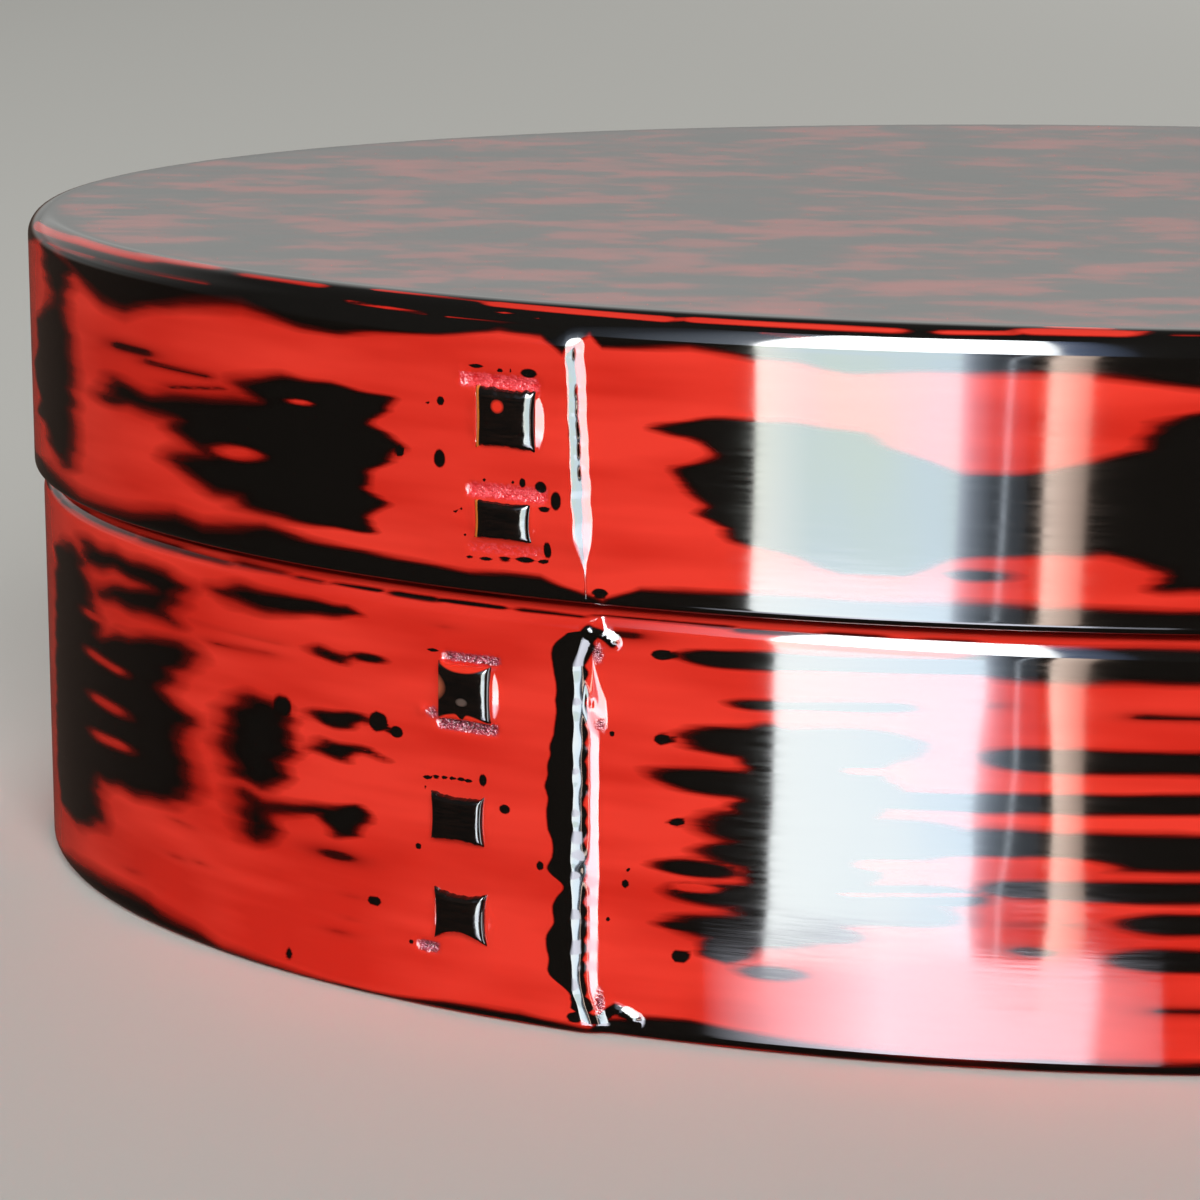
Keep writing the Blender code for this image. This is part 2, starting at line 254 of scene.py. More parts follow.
def case_relief(along, height):
    across = across_case_seam(along, height)
    joined = np.exp(-((height - 13.7) / 1.7) ** 2)
    fall = np.interp(across, *CASE_FALL)
    swell = (np.interp(across, *BLOB_FALL) - fall) * smooth((across + 0.2) / 0.5)
    fall = fall + swell * np.exp(-((height - 27.0 + 1.0 * (along + 52)) / 1.5) ** 2)
    fall = fall * (1 - joined) + np.interp(across, *BROAD_FALL) * joined
    near_top = path_distance(along, height, CASE_HOOK[3:])
    near_low = path_distance(along, height, CASE_LOW_HOOK[5:])
    small = 0.3 * np.clip(1 - np.minimum(near_top, near_low) / 0.75, 0, 1) ** 1.15
    small = small - 0.1 * bump(along, height, -52.1, 27.2, 0.16, 0.22)
    small = small + 0.22 * bump(along, height, -66.6, 25.0, 0.45, 0.42)
    hand = hand_bow(along, height, 0.2, 5, 21)
    hand = hand + 0.0022 * (along + 25) * wobble(height, 71, 13) * np.exp(-((along + 25) / 9) ** 2)
    stitches = stitch_relief(along, height, CASE_PILLOWS, CASE_SKIRTS, CASE_SLITS)
    return lap_fade(along) * fall + small + hand + stitches


def lid_relief(along, height):
    slim = 0.06 + 0.94 * smooth((height - 37.5) / 3.6)
    away = (along - lid_edge(height)) / slim
    away = np.where(away < 0, away / (1 + 0.05 * wobble(height, 10, 3.4)), away)
    dashed = np.zeros_like(along)
    for middle, half in LID_DASHES:
        dashed = np.maximum(dashed, smooth((half - np.abs(height - middle)) / 0.3 + 0.5))
    step = LID_STEP * (1 - smooth(away / 0.26 + 0.5))
    fall = np.interp(away, *LID_FALL) * (1 - 0.14 * dashed) + 0.14 * dashed * step
    tall = slim * (1 - smooth((height - 55.1) / 1.6))
    small = 0.2 * bump(along, height, -62.6, 52.2, 0.4, 0.75)
    hand = hand_bow(along, height, -0.18, 6, 23)
    stitches = stitch_relief(along, height, LID_PILLOWS, LID_SKIRTS, LID_SLITS)
    return lap_fade(along) * fall * tall + small + hand + stitches


print("the steps are", round(float(CASE_STEP), 2), "and", round(float(LID_STEP), 2), "mm high")


# %% [markdown]
# Where black shows through
#
# On the real box this comes from rubbing: the hand moves along the wall, so the black runs out in pointed
# streaks, while drips and pinheads stay round. Broad areas are drawn here as outlines, narrow ones as
# strokes with a start, an end and a half height. Both fall off more slowly along the wall than up it, as
# rubbing does. Heights are counted along the surface, so a mark runs on over the rounded top edge.


# %% Marks on the lid's wall, as places along it and heights
LID_PATCHES = [
    [(-84, 49.3), (-79, 50.3), (-74.5, 50.4), (-68.5, 49.8), (-71, 47.7), (-67.5, 46), (-70.5, 44.4),
     (-71.5, 42.7), (-69.5, 41.5), (-71.5, 40.3), (-71, 39.1), (-78.5, 38.9), (-83.5, 39.4), (-84, 40.2),
     (-87, 40.1), (-92.5, 41.9), (-88, 42.9), (-91.5, 44.4), (-92, 45.2), (-101, 45.8), (-100, 47.3),
     (-95, 46.7), (-84.5, 48), (-82, 48.2)],
    [(-47, 49.4), (-43.5, 50.1), (-36.5, 50.3), (-31.5, 49.8), (-28.5, 48.6), (-24, 47.1), (-17.5, 47.4),
     (-14, 48.4), (-11, 49.3), (-10, 51.1), (-7, 51.9), (2, 52), (13, 50.6), (6, 49.2), (17, 47.4), (8, 46),
     (14, 43.6), (4, 42.4), (8, 40.6), (-1, 39.4), (-6, 38.5), (-10, 38.8), (-8.5, 40.3), (-13.5, 41.7),
     (-16.5, 41.4), (-24.5, 40.9), (-28, 39.2), (-32.5, 39.2), (-36, 40.3), (-41, 41), (-43.5, 44),
     (-45.5, 46.5), (-42.5, 47.3), (-42.5, 48.6), (-44, 49.1)],
    [(-116, 58), (-114.5, 54.6), (-111.5, 53), (-115.5, 50.5), (-119, 49.7), (-118.5, 47.3), (-121, 44.4),
     (-117.5, 42.6), (-119.5, 41.1), (-116, 40.9), (-114, 39.3), (-110.5, 38.4), (-109, 39.3),
     (-108.5, 46.8), (-110, 52.6), (-109, 54.2), (-107.5, 55.6)],
]
LID_STREAKS = [
    (-22.8, 39.5, -22.2, 39.5, 0.35), (-100.8, 45.5, -98.5, 45.9, 0.3), (-89, 42.2, -86, 42.2, 0.4),
]
LID_SMEARS = [(-99, 50.2, -96, 50.2, 0.9), (-95, 49.5, -88, 49.4, 0.7), (-92, 47.9, -86, 48.6, 0.6)]
LID_HOLES = [
    (-84.9, 43.5, -84.1, 43.7, 0.55), (-77.7, 48.6, -77.2, 48.6, 0.26), (-121, 57.5, -109, 58.1, 0.45),
    (-109, 58.2, -97, 58.2, 0.5), (-97, 58.5, -89.5, 58.7, 0.5), (-114, 56.9, -104, 57.0, 0.14),
    (-102, 57.0, -88, 56.9, 0.1), (-84, 58.3, -77, 58.2, 0.28), (-71, 58.5, -60, 58.3, 0.13),
    (-60, 58.1, -47, 57.8, 0.34), (-44, 57.9, -29.5, 57.8, 0.33), (-39, 57.0, -35.5, 56.9, 0.12),
    (-25.5, 57.8, -21, 57.9, 0.26), (-18.6, 58.2, -13.2, 58.2, 0.5), (-17.3, 59, -14.2, 58.9, 0.3),
    (-11.5, 58.4, -11.2, 58.4, 0.2), (-8.7, 58.1, -7.2, 58.1, 0.15), (-73, 57, -66, 56.7, 0.11),
    (-64, 56.6, -55, 56.5, 0.08), (-60.5, 57.4, -56.5, 57.1, 0.05),
]
LID_DOTS = [
    (-64.35, 50.13, 0.32, 0.35), (-65.5, 49.9, 0.15, 0.15), (-64.45, 45.64, 0.45, 0.67),
    (-68, 45.8, 0.37, 0.4), (-61.3, 53.1, 0.6, 0.16), (-59.3, 52.95, 0.26, 0.16), (-58.4, 53, 0.15, 0.14),
    (-56.9, 52.9, 0.64, 0.34), (-57.4, 44.41, 0.24, 0.35), (-55.9, 44.2, 0.42, 0.42),
    (-54.65, 43.2, 0.37, 0.64), (-55.6, 42.5, 0.47, 0.2), (-60.6, 44.3, 0.15, 0.14),
    (-58.2, 44.4, 0.15, 0.14), (-62.6, 41.9, 0.16, 0.16), (-63.1, 41.6, 0.16, 0.16),
    (-55.4, 39.3, 0.3, 0.6), (-55.8, 38.3, 0.4, 0.16), (-57.3, 38.3, 0.75, 0.2), (-59, 38.2, 0.6, 0.14),
    (-60.6, 38.1, 0.5, 0.12), (-62, 38, 0.3, 0.1), (-51.2, 36.3, 0.57, 0.29), (-62.3, 39.8, 0.12, 0.12),
]
LID_TOP_LINE = [
    (-132, 54.5), (-116, 57), (-112, 57), (-107, 55.4), (-102, 53.7), (-98.5, 53.4), (-94.5, 54.5),
    (-90.5, 55.2), (-83.5, 55.7), (-77.5, 54.7), (-73.5, 54.5), (-64.5, 55.4), (-59.5, 56.3), (-56, 55.9),
    (-54.2, 54.7), (-53.9, 55.2), (-52.2, 56.3), (-51.2, 55.4), (-44.5, 55.7), (-39.5, 55.2), (-36, 55.2),
    (-32.5, 54.7), (-25.5, 54.8), (-15, 55.1), (-7, 54.1), (6, 54.6),
]
LID_FOOT_LINE = [
    (-132, 36.9), (-118, 37), (-107, 35.8), (-98, 36.3), (-92, 37.2), (-88.5, 36.7), (-81.5, 37.9),
    (-77.5, 37.4), (-72, 37.4), (-62, 36.8), (-56, 37), (-53.2, 36.1), (-51, 35.4), (-48, 36.7),
    (-39.5, 37), (-24, 37.2), (-13, 37), (6, 37),
]
print(len(LID_PATCHES), "patches and", len(LID_DOTS), "dots on the lid's front")


# %% Marks on the case's wall
CASE_PATCHES = [
    [(-116.5, 29.7), (-111.5, 30.8), (-109, 30), (-107.5, 26.8), (-105.5, 24), (-97, 25.5), (-92.5, 26.1),
     (-91, 25.5), (-93, 23.8), (-95.5, 21.5), (-91.5, 20), (-93, 17.7), (-91.5, 13.7), (-95, 11.9),
     (-106, 11.3), (-107.5, 9.6), (-106, 7.4), (-112, 5.7), (-117.5, 5.9), (-119.5, 9.2)],
    [(-108.5, 31.8), (-94.5, 31.8), (-92, 31.2), (-93.5, 29.4), (-94, 27.9), (-105.5, 28), (-98.5, 29.8),
     (-96.5, 30.1), (-102.5, 30.7), (-107.5, 30.2)],
    [(-87, 20), (-86, 22), (-83.5, 23.3), (-81, 23.2), (-80, 21.5), (-79.8, 19), (-80.6, 17), (-83, 15.8),
     (-85.5, 16.3), (-87, 18)],
    [(-85, 15), (-82.5, 14.6), (-76, 15.3), (-73, 15.9), (-71.8, 15.4), (-73.2, 13.4), (-74.8, 13.2),
     (-76.5, 14.6), (-82, 13.8), (-82.3, 11.6), (-83.8, 11), (-84.8, 12.6)],
    [(-76.5, 23.1), (-74, 23.6), (-72.5, 23.5), (-73.5, 22.6), (-75.5, 22.5)],
    [(-77, 20.1), (-75.5, 21), (-71, 21.1), (-70, 20.5), (-73, 20.4), (-74, 19.8)],
    [(-87.5, 31.6), (-85, 32.2), (-79.5, 32.4), (-73.5, 32.4), (-72.5, 31.8), (-82, 31), (-84.5, 31)],
    [(-76.5, 28.6), (-73.5, 28.2), (-74, 27.8), (-76, 28)],
    [(-40, 26.4), (-37.5, 26.7), (-31, 25.6), (-28, 24.9), (-29.5, 23.7), (-28, 22.3), (-29.5, 20.5),
     (-28, 19.2), (-29.5, 17.4), (-28.5, 16.1), (-30, 14.6), (-29, 13.5), (-31.5, 11.2), (-35, 9.3),
     (-38, 8.6), (-41, 7.4), (-43, 7.8), (-43, 9.4), (-39.5, 11.6), (-40, 20.7)],
]
CASE_STREAKS = [
    (-71.7, 28.5, -71.5, 28.5, 0.22), (-41.9, 31.6, -23.7, 32.3, 0.56), (-17.3, 32.6, 12, 32.8, 1.2),
    (-39, 28.2, -28.5, 28.8, 0.36), (-38.5, 25.2, -32, 25.6, 1.19), (-17.5, 25.2, 9.9, 25.2, 0.84),
    (-41.8, 21.9, -40.8, 21.9, 1.03), (-37.6, 21.2, 14, 22.5, 0.68), (-36.8, 18.3, -27.9, 18.8, 1.28),
    (-19.9, 18.4, -19.6, 18.5, 1.19), (-12.3, 18.5, 7, 18.5, 1.08), (-43.7, 14.7, -43.2, 14.7, 0.58),
    (-36.9, 16.2, -26.9, 17.1, 1.09), (-42, 12.7, -25.7, 14, 0.86), (-17.7, 14.9, 11, 15.1, 0.74),
    (-35.1, 12.1, -28.7, 12.5, 1.15), (-44.3, 9.9, -44, 9.9, 0.41), (-39.6, 9.9, -38.9, 10, 1.16),
    (-35.4, 10.4, -34.5, 10.4, 0.87), (-37.7, 6.7, -37.3, 6.8, 0.47), (-10.6, 17.6, 2, 17.6, 0.91),
    (-6.8, 12.4, 9, 12.5, 0.74), (-7.3, 9.5, 4, 9.5, 0.8),
]
CASE_SMEARS = [
    (-79, 22.4, -76.7, 22.8, 0.2), (-85.1, 16.4, -84.6, 16.4, 0.72), (-91.3, 28.4, -80.9, 28.3, 0.25),
    (-93.6, 10.5, -92.1, 10.4, 0.35), (-75, 11.5, -74.8, 11.5, 1.02), (-73.5, 8.3, -73.1, 8.3, 0.31),
    (-73.7, 6.4, -73.5, 6.3, 0.31), (-74.9, 5, -74.7, 5, 0.52), (-100.9, 4.2, -99.7, 4.4, 0.38),
    (-93.8, 7.3, -93.6, 7.3, 0.4), (-90.6, 7.5, -90.4, 7.5, 0.37), (-64.6, 32, -64.5, 32, 0.29),
    (-18.7, 12.1, -14.7, 12.2, 0.52), (-17.8, 10, -17.2, 9.9, 0.86), (-9.7, 28.8, -2, 28.7, 0.69),
    (-20.9, 29.3, -20.7, 29.4, 0.5), (-7.1, 5.5, 6.7, 5.5, 0.75), (-36, 23.9, -23.1, 24.5, 0.28),
    (-88, 27, -82, 27.2, 0.5), (-49.6, 32.9, -49.4, 32.9, 0.8),
]
CASE_HOLES = [
    (-106.8, 22.1, -102.5, 21.8, 0.4), (-107, 25.6, -101, 25.5, 0.5), (-105.8, 18.3, -103.2, 18.2, 0.54),
    (-105.5, 15, -102.4, 15.2, 0.54), (-43.8, 13.2, -43.6, 13.2, 0.38), (-31.1, 23.6, -23.1, 24, 0.28),
    (-29.2, 16.2, -23.7, 16.5, 0.4), (-31.6, 13.7, -22.5, 14.3, 0.2), (-20.3, 16.6, -20.1, 16.6, 1.08),
    (-16.4, 16.8, -16.1, 16.8, 1.02),
]
CASE_DOTS = [
    (-80.4, 23.1, 0.85, 0.85), (-70.75, 23.4, 0.8, 0.77), (-69, 22.8, 0.56, 0.45), (-71.2, 8.3, 0.64, 0.43),
    (-80.1, 2, 0.33, 0.47), (-46.5, 31.55, 0.8, 0.37), (-46.4, 24.85, 0.69, 0.4), (-45.3, 18.3, 0.52, 0.29),
    (-44.8, 7.4, 0.58, 0.59), (-59.25, 17.9, 0.41, 0.34), (-49.3, 12.85, 0.29, 0.36),
    (-56.2, 13.65, 0.3, 0.39), (-50.5, 24.9, 0.24, 0.19), (-49.1, 14, 0.15, 0.15), (-50.7, 9.8, 0.15, 0.15),
    (-66.15, 19.5, 0.38, 0.17), (-65.35, 19.65, 0.32, 0.15), (-64.6, 19.7, 0.24, 0.16),
    (-63.9, 19.75, 0.24, 0.16), (-63.1, 19.8, 0.37, 0.16), (-62.45, 19.75, 0.36, 0.16),
    (-61.15, 19.95, 0.31, 0.48), (-66.3, 18.65, 0.15, 0.15), (-53.2, 1.5, 0.55, 0.34),
    (-46.9, 0.9, 0.96, 0.54), (-67.7, 5.5, 0.2, 0.2), (-67, 13.65, 0.27, 0.25), (-49, 2.2, 0.48, 0.2),
    (-65.6, 30, 0.53, 0.14),
]
CASE_STRIP_LINE = [
    (3.4, -53.4), (3.9, -54.0), (4.8, -55.5), (6.0, -55.3), (7.7, -55.7), (9.5, -54.8), (10.9, -55.1),
    (12.2, -53.9), (13.4, -55.8), (14.8, -54.9), (17, -55.5), (20.0, -55.7), (22.9, -55.4), (25.5, -54.9),
    (28.4, -54.8), (31, -55.4), (32.4, -54.7), (32.8, -53.6),
]
CASE_FOOT_LINE = [
    (-132, 1.0), (-118, 0.9), (-109, 1.7), (-101, 2.1), (-98, 2.1), (-96.5, 1.7), (-91, 1.1), (-88, 0.2),
    (-71.5, 0.2), (-65, 0.9), (-62.5, 1), (-58, 1.1), (-55.8, 0.8), (-52, 0.5), (-51.2, 1.2), (-48, 1.7),
    (-44, 2.1), (-40, 1.7), (-35, 1.3), (-27.5, 1.1), (-14.3, 1.1), (6, 1.2),
]
print(len(CASE_PATCHES), "patches and", len(CASE_DOTS), "dots on the case's front")


# %% [markdown]
# The unseen sides
#
# The back and the right end were rubbed by the same hand, so their strokes are drawn by a seeded generator
# that makes bundles of parallel streaks with staggered ends, of the sizes measured on the front.


# %% Make bundles of strokes for the unseen sides
def bundles(seed, low, high, starts):
    picks = random.Random(seed)
    made = []
    for start in starts:
        length = picks.uniform(16, 34)
        height = low + picks.uniform(1, 4)
        while height < high - 1:
            half = picks.uniform(0.35, 1.25)
            if picks.random() < 0.8:
                left = start + picks.uniform(-6, 6)
                right = left + length * picks.uniform(0.35, 1.0)
                made.append((left, height + half, right, height + half + picks.uniform(-0.5, 0.5), half))
            height += 2 * half + picks.uniform(0.1, 1.5)
    return made


def middle_of(outline):
    return sum(s for s, z in outline) / len(outline)


def moved(outline, shift, stretch):
    """The same outline rubbed again elsewhere, turned end for end when the stretch is negative."""
    middle = middle_of(outline)
    return [((s - middle) * stretch + middle + shift, z) for s, z in outline]


def pinheads(seed, low, high, count):
    picks = random.Random(seed)
    return [(picks.uniform(8, BACK_END), picks.uniform(low, high), *(picks.uniform(0.3, 0.6),) * 2)
            for _ in range(count)]


def dashes(seed, start, stop, height, lengths, gaps, half):
    """A row of short strokes along one height, such as the edge rubbed through on a corner."""
    picks = random.Random(seed)
    made = []
    while start < stop:
        length = picks.uniform(*lengths)
        level = height + picks.uniform(-1, 1) * half
        end_level = level + picks.uniform(-0.3, 0.3) * half
        made.append((start, level, start + length, end_level, half * picks.uniform(0.6, 1.2)))
        start += length + picks.uniform(*gaps)
    return made


BACK_END = ROUND - 135
LID_STREAKS += bundles(11, 38, 54, (28, 62, 96, 138, 172, 214, 247, 290, 318, 352))
CASE_STREAKS += bundles(12, 3, 33, (34, 66, 104, 132, 171, 200, 238, 276, 305, 344))
CASE_STREAKS += dashes(15, -126, -24, 34.12, (1.5, 5.5), (0.5, 2.2), 0.12)
LID_HOLES += dashes(16, -2, BACK_END, 58.0, (4, 15), (2, 9), 0.3)
LID_PATCHES += [moved(LID_PATCHES[k], *by) for k, *by in ((0, 238, -1.2), (1, 148, 0.7), (0, 370, 1.1))]
CASE_PATCHES += [moved(CASE_PATCHES[0], *by) for by in ((186, -1.1), (268, 0.8), (334, -1.4))]
LID_DOTS += pinheads(13, 39, 54, 40)
CASE_DOTS += pinheads(14, 4, 33, 60)
print(len(LID_STREAKS), "and", len(CASE_STREAKS), "streaks in all")


# %% Turn marks into one value for each point of a wall
FAR_OUT = -3.0


def wrap(value):
    return (value + ROUND / 2) % ROUND - ROUND / 2


def stroke_value(along, height, strokes):
    best = np.full(along.shape, FAR_OUT)
    for s0, z0, s1, z1, half in strokes:
        x, y, run, rise = wrap(along - s0) / 5, height - z0, max((s1 - s0) / 5, 0.001), z1 - z0
        best = np.maximum(best, (1 - off_line(x, y, run, rise) / half) * min(1.3 * half + 0.15, 1.2))
    return best


def dot_value(along, height, dots):
    best = np.full(along.shape, FAR_OUT)
    for s0, z0, wide, high in dots:
        far = np.hypot(wrap(along - s0) / wide, (height - z0) / high)
        best = np.maximum(best, (1 - far) * min(1.7 + 0.5 * min(wide, high), 3.0))
    return best


def patch_value(along, height, outlines):
    """Above 0 inside an outline and below it outside, with distances along the wall counted a third."""
    best = np.full(along.shape, FAR_OUT)
    for outline in outlines:
        middle = middle_of(outline)
        beside = wrap(along - middle) + middle
        near = np.full(along.shape, FAR_AWAY)
        within = np.zeros(along.shape, dtype=bool)
        for (s0, z0), (s1, z1) in zip(outline, outline[1:] + outline[:1]):
            x, y, run, rise = (beside - s0) / 3, height - z0, (s1 - s0) / 3, z1 - z0
            near = np.minimum(near, off_line(x, y, run, rise))
            crosses = (height < z0) != (height < z1)
            within ^= crosses & (x < run * y / (rise if rise else 1))
        best = np.maximum(best, np.where(within, np.minimum(near, 1.0), -near) * 1.25)
    return best


def line_at(value, line, seed, size, swing):
    """The height of an edge given by points, going over to a random wave where no points are given."""
    wave = line[0][1] + swing * wobble(value, seed, size)
    known = smooth((value - FRONT_START) / 6) * smooth((FRONT_END - value) / 6)
    return wave + (np.interp(value, *zip(*line)) - wave) * known


def rubbed(along, height, seed):
    """Places shifted a little from row to row, as the rubbing hand does not end every stroke in one line."""
    shifted = along + 0.45 * wobble(height + 0.03 * along, seed, 2.6) + 0.12 * wobble(height, seed + 1, 1.0)
    return shifted, height + 0.14 * wobble(along, seed + 2, 8)


# %% Join the marks of each wall
def marks_value(along, height, streaks, seed, patches, edge, holes, depth, dots):
    """Streaks, patches and an edge, less the red left in their holes, and over these the dots."""
    black = stroke_value(along, height, streaks)
    black = np.maximum(black, patch_value(*rubbed(along, height, seed), patches))
    black = np.minimum(np.maximum(black, edge), -depth * stroke_value(along, height, holes))
    return np.maximum(black, dot_value(along, height, dots))


def lid_black(along, height):
    edge = np.minimum(height - line_at(along, LID_TOP_LINE, 21, 30, 0.8), 1.0)
    black = marks_value(along, height, LID_STREAKS, 51, LID_PATCHES, edge, LID_HOLES, 2.0, LID_DOTS)
    across = along - lid_edge(height)
    taper = smooth((height - 37.5) / 3.6) * smooth((55.4 - height) / 1)
    strip = np.minimum(across + 0.62 * taper, 0.1 * taper - across) - 0.05
    black = np.maximum(black, np.where((height > 36.3) & (height < 55.4), 2.5 * strip, -1.0))
    return np.maximum(black, line_at(along, LID_FOOT_LINE, 22, 24, 0.7) - height)


def case_black(along, height):
    black = marks_value(along, height, CASE_STREAKS, 55, CASE_PATCHES, FAR_OUT, CASE_HOLES, 1.3, CASE_DOTS)
    levels, places = zip(*CASE_STRIP_LINE)
    left = sum(np.interp(height + shift, levels, places) for shift in (-0.45, -0.2, 0, 0.2, 0.45)) / 5
    left = left + 0.1 * wobble(height, 43, 2.2)
    # The strip's right edge reaches out in lumps: partly black rubbed through, partly painted shade of small
    # lacquer lumps on the seam's steep part.
    shaded_lumps = np.abs(np.sin(math.pi * (height + 0.4 * wobble(height, 41, 4)) / 1.6))
    right = case_edge(height) - 0.06 + 0.26 * shaded_lumps
    strip = np.where((height > 2.0) & (height < 33.0), np.minimum(along - left, right - along), -1.0)
    hook = 0.36 - path_distance(along, height, CASE_HOOK)
    hook = np.maximum(hook, 0.3 - path_distance(along, height - 0.1, CASE_LOW_HOOK))
    foot = np.minimum(line_at(along, CASE_FOOT_LINE, 23, 24, 0.7) - height, (height - 0.3) * 2)
    return np.maximum.reduce([black, 2.5 * strip, 2.5 * hook, foot])


print("black on the lid at the main patch:", lid_black(np.array([-80.0]), np.array([44.0])))


# %% [markdown]
# A band's mesh
#
# The profile of a wall goes up the outside, over the rounded top edge, down the inside and round the foot.
# The rows on the outer face stand 0.25 mm apart, so that the seam's edge and the sunk slits can be shaped
# in the mesh itself and show from every side. The mesh is closed, so it has a true inside as the board
# does.


# %% Make the rows of a profile
ROW_STEP = 0.25
INSIDE = 90.0    # stands for the height along the face on rows that aren't outside


def arc(centre_out, centre_up, radius, start, stop, count):
    turns = np.radians(np.linspace(start, stop, count))
    return [(centre_out + radius * math.cos(t), centre_up + radius * math.sin(t)) for t in turns]


def wall_profile(low, high, out, wall, foot, shoulder, inner=0.5, flat_joint=False):
    """Rows of outward place, height, share of outer and of inner relief, and height along the face."""
    rows = [(o, h, 1.0, 0.0, h) for o, h in arc(out - foot, low + foot, foot, -90, 0, 7)]
    count = round((high - low - foot - shoulder) / ROW_STEP)
    rows += [(out, h, 1.0, 0.0, h) for h in np.linspace(low + foot, high - shoulder, count + 1)[1:-1]]
    turns = np.radians(np.linspace(0, 90, 15))
    for turn, (o, h) in zip(turns, arc(out - shoulder, high - shoulder, shoulder, 0, 90, 15)):
        fade = 1 - 0.85 * smooth((h - high + shoulder) / shoulder)
        rows.append((o, h, fade, 0.0, high - shoulder + shoulder * turn))
    inside = out - wall
    over = high - shoulder + shoulder * math.pi / 2
    if flat_joint:
        flat = np.linspace(out - shoulder, inside, 7)[1:]
        rows += [(o, high, 0.0, 0.0, over + out - shoulder - o) for o in flat]
        rows.append((inside, high - 0.3, 0.0, 0.3, INSIDE))
    else:
        bend = arc(inside + inner, high - inner, inner, 90, 180, 5)
        rows += [(o, h, 0.0, 0.6, over + 1.0) for o, h in bend]
    rows += [(inside, h, 0.0, 1.0, INSIDE) for h in np.linspace(high - 0.9, low + 0.9, 22)]
    rows += [(o, h, 0.0, 1.0, INSIDE) for o, h in arc(inside + inner, low + inner, inner, 180, 270, 5)]
    return rows


# %% Turn grids of points into finished meshes
def grid_mesh(name, points, closed_rows=True):
    """A mesh from a grid of points, columns round the oval and rows round the profile."""
    columns, rows = points.shape[:2]
    index = np.arange(columns * rows).reshape(columns, rows)
    right = np.roll(index, -1, axis=0)
    quads = np.stack([index, right, np.roll(right, -1, axis=1), np.roll(index, -1, axis=1)], axis=-1)
    if not closed_rows:
        quads = quads[:, :-1]
    return new_mesh(name, points.reshape(-1, 3).tolist(), [], quads.reshape(-1, 4).tolist())


def finish_mesh(mesh, sharp=35):
    """Faces turned outwards, all smooth, with true corners kept sharp."""
    work = bmesh.new()
    work.from_mesh(mesh)
    bmesh.ops.recalc_face_normals(work, faces=work.faces)
    if work.calc_volume(signed=True) < 0:
        bmesh.ops.reverse_faces(work, faces=work.faces)
    work.to_mesh(mesh)
    work.free()
    mesh.shade_smooth()
    mesh.set_sharp_from_angle(angle=math.radians(sharp))
    mesh.update()
    print(mesh.name, sum(len(p.vertices) - 2 for p in mesh.polygons), "triangles")


def new_mesh(name, points, edges=(), faces=()):
    mesh = bpy.data.meshes.new(name)
    mesh.from_pydata(points, edges, faces)
    return mesh


def put_values(mesh, **values):
    for key, data in values.items():
        layer = mesh.attributes.new(key, "FLOAT", "POINT")
        layer.data.foreach_set("value", np.asarray(data, dtype=np.float32).ravel())


def new_object(name, data):
    made = bpy.data.objects.new(name, data)
    bpy.context.scene.collection.objects.link(made)
    return made


# %% Loft the two walls
def inner_lap(along):
    """Inside, the wall thickens towards the hidden tip of the board and falls back just past it."""
    share = np.clip((LAP_EDGE - along) / LAP_LENGTH, 0, 1)
    past = np.clip((LAP_EDGE - LAP_LENGTH - along) / 2, 0, 1)
    return 1.15 * share * (1 - smooth(past)) * (along < LAP_EDGE)


def crispness(along):
    """Rubbed softly at the left end, crisply round the seams and a little softer beyond them."""
    soft = smooth((along + 122) / 8) * smooth((-68 - along) / 18)
    return 2.5 - 1.75 * soft - 0.9 * smooth((along + 46) / 10)


CASE_PITS = [(-51.75, 31.2, 0.6, 1.0), (-51.4, 25.6, 0.5, 0.6), (-51.3, 2.8, 0.5, 1.2),
             (-65.6, 24.95, 0.7, 0.55), (-60.7, 29.7, 0.8, 0.55)]


def make_wall(name, profile, relief, black, slits, smears, torn):
    along = stations[:, None] + np.zeros((1, len(profile)))
    out, height, outer, inner, face = (np.array(column)[None, :] + 0 * along for column in zip(*profile))
    offset = out + outer * relief(along, height) - inner * inner_lap(along)
    mesh = grid_mesh(name, oval(along, offset, height))
    on_case = name.startswith("case")
    inside = (face == INSIDE).astype(float)
    # This marks the slits and torn pits: real grit and roughness there, and a painted reflection in their
    # colour.
    pits = 0 * along
    for s0, z0, wide, high, depth in slits:
        reach = smooth((wide - np.abs(along - s0)) / 0.9 + 0.5) * min(depth / 0.2, 1.0)
        pits = np.maximum(pits, reach * np.exp(-((height - z0) / (high * 1.25)) ** 6))
    for pit in torn:
        pits = np.maximum(pits, bump(along, height, *pit))
    smoke = np.minimum(np.exp(1.4 * stroke_value(along, face, smears) - 1.3), 1)
    # On the case's shoulder, under the lid's overhang, this value also paints shade.
    if on_case:
        smoke = np.maximum(smoke, 0.8 * smooth((face - 34.6) / 0.3))
    flat = smooth((face - 59.3) / 1.2) * (not on_case)
    put_values(mesh, black=black(along, face), crisp=crispness(along), pits=pits * (1 - inside),
               smoke=smoke, inside=inside, flat=flat * (1 - inside))
    finish_mesh(mesh)
    return new_object(name, mesh)


case_wall = make_wall("case_wall", wall_profile(0, CASE_TOP, 0, CASE_WALL, 1.0, 1.9), case_relief,
                      case_black, CASE_SLITS, CASE_SMEARS, CASE_PITS)
lid_wall = make_wall("lid_wall", wall_profile(LID_FOOT, LID_TOP, LID_OUT, LID_WALL, 0.6, 2.1, 0.5, True),
                     lid_relief, lid_black, LID_SLITS, LID_SMEARS, [])


# %% [markdown]
# The two boards
#
# The lid's top and the case's floor are flat boards let into the walls. Lacquer hides the joint, so the
# lid's board ends exactly on the wall's inner corner and both share one level and one finish. Each is made
# of rings that shrink towards the middle, close enough together to carry the pattern's values.


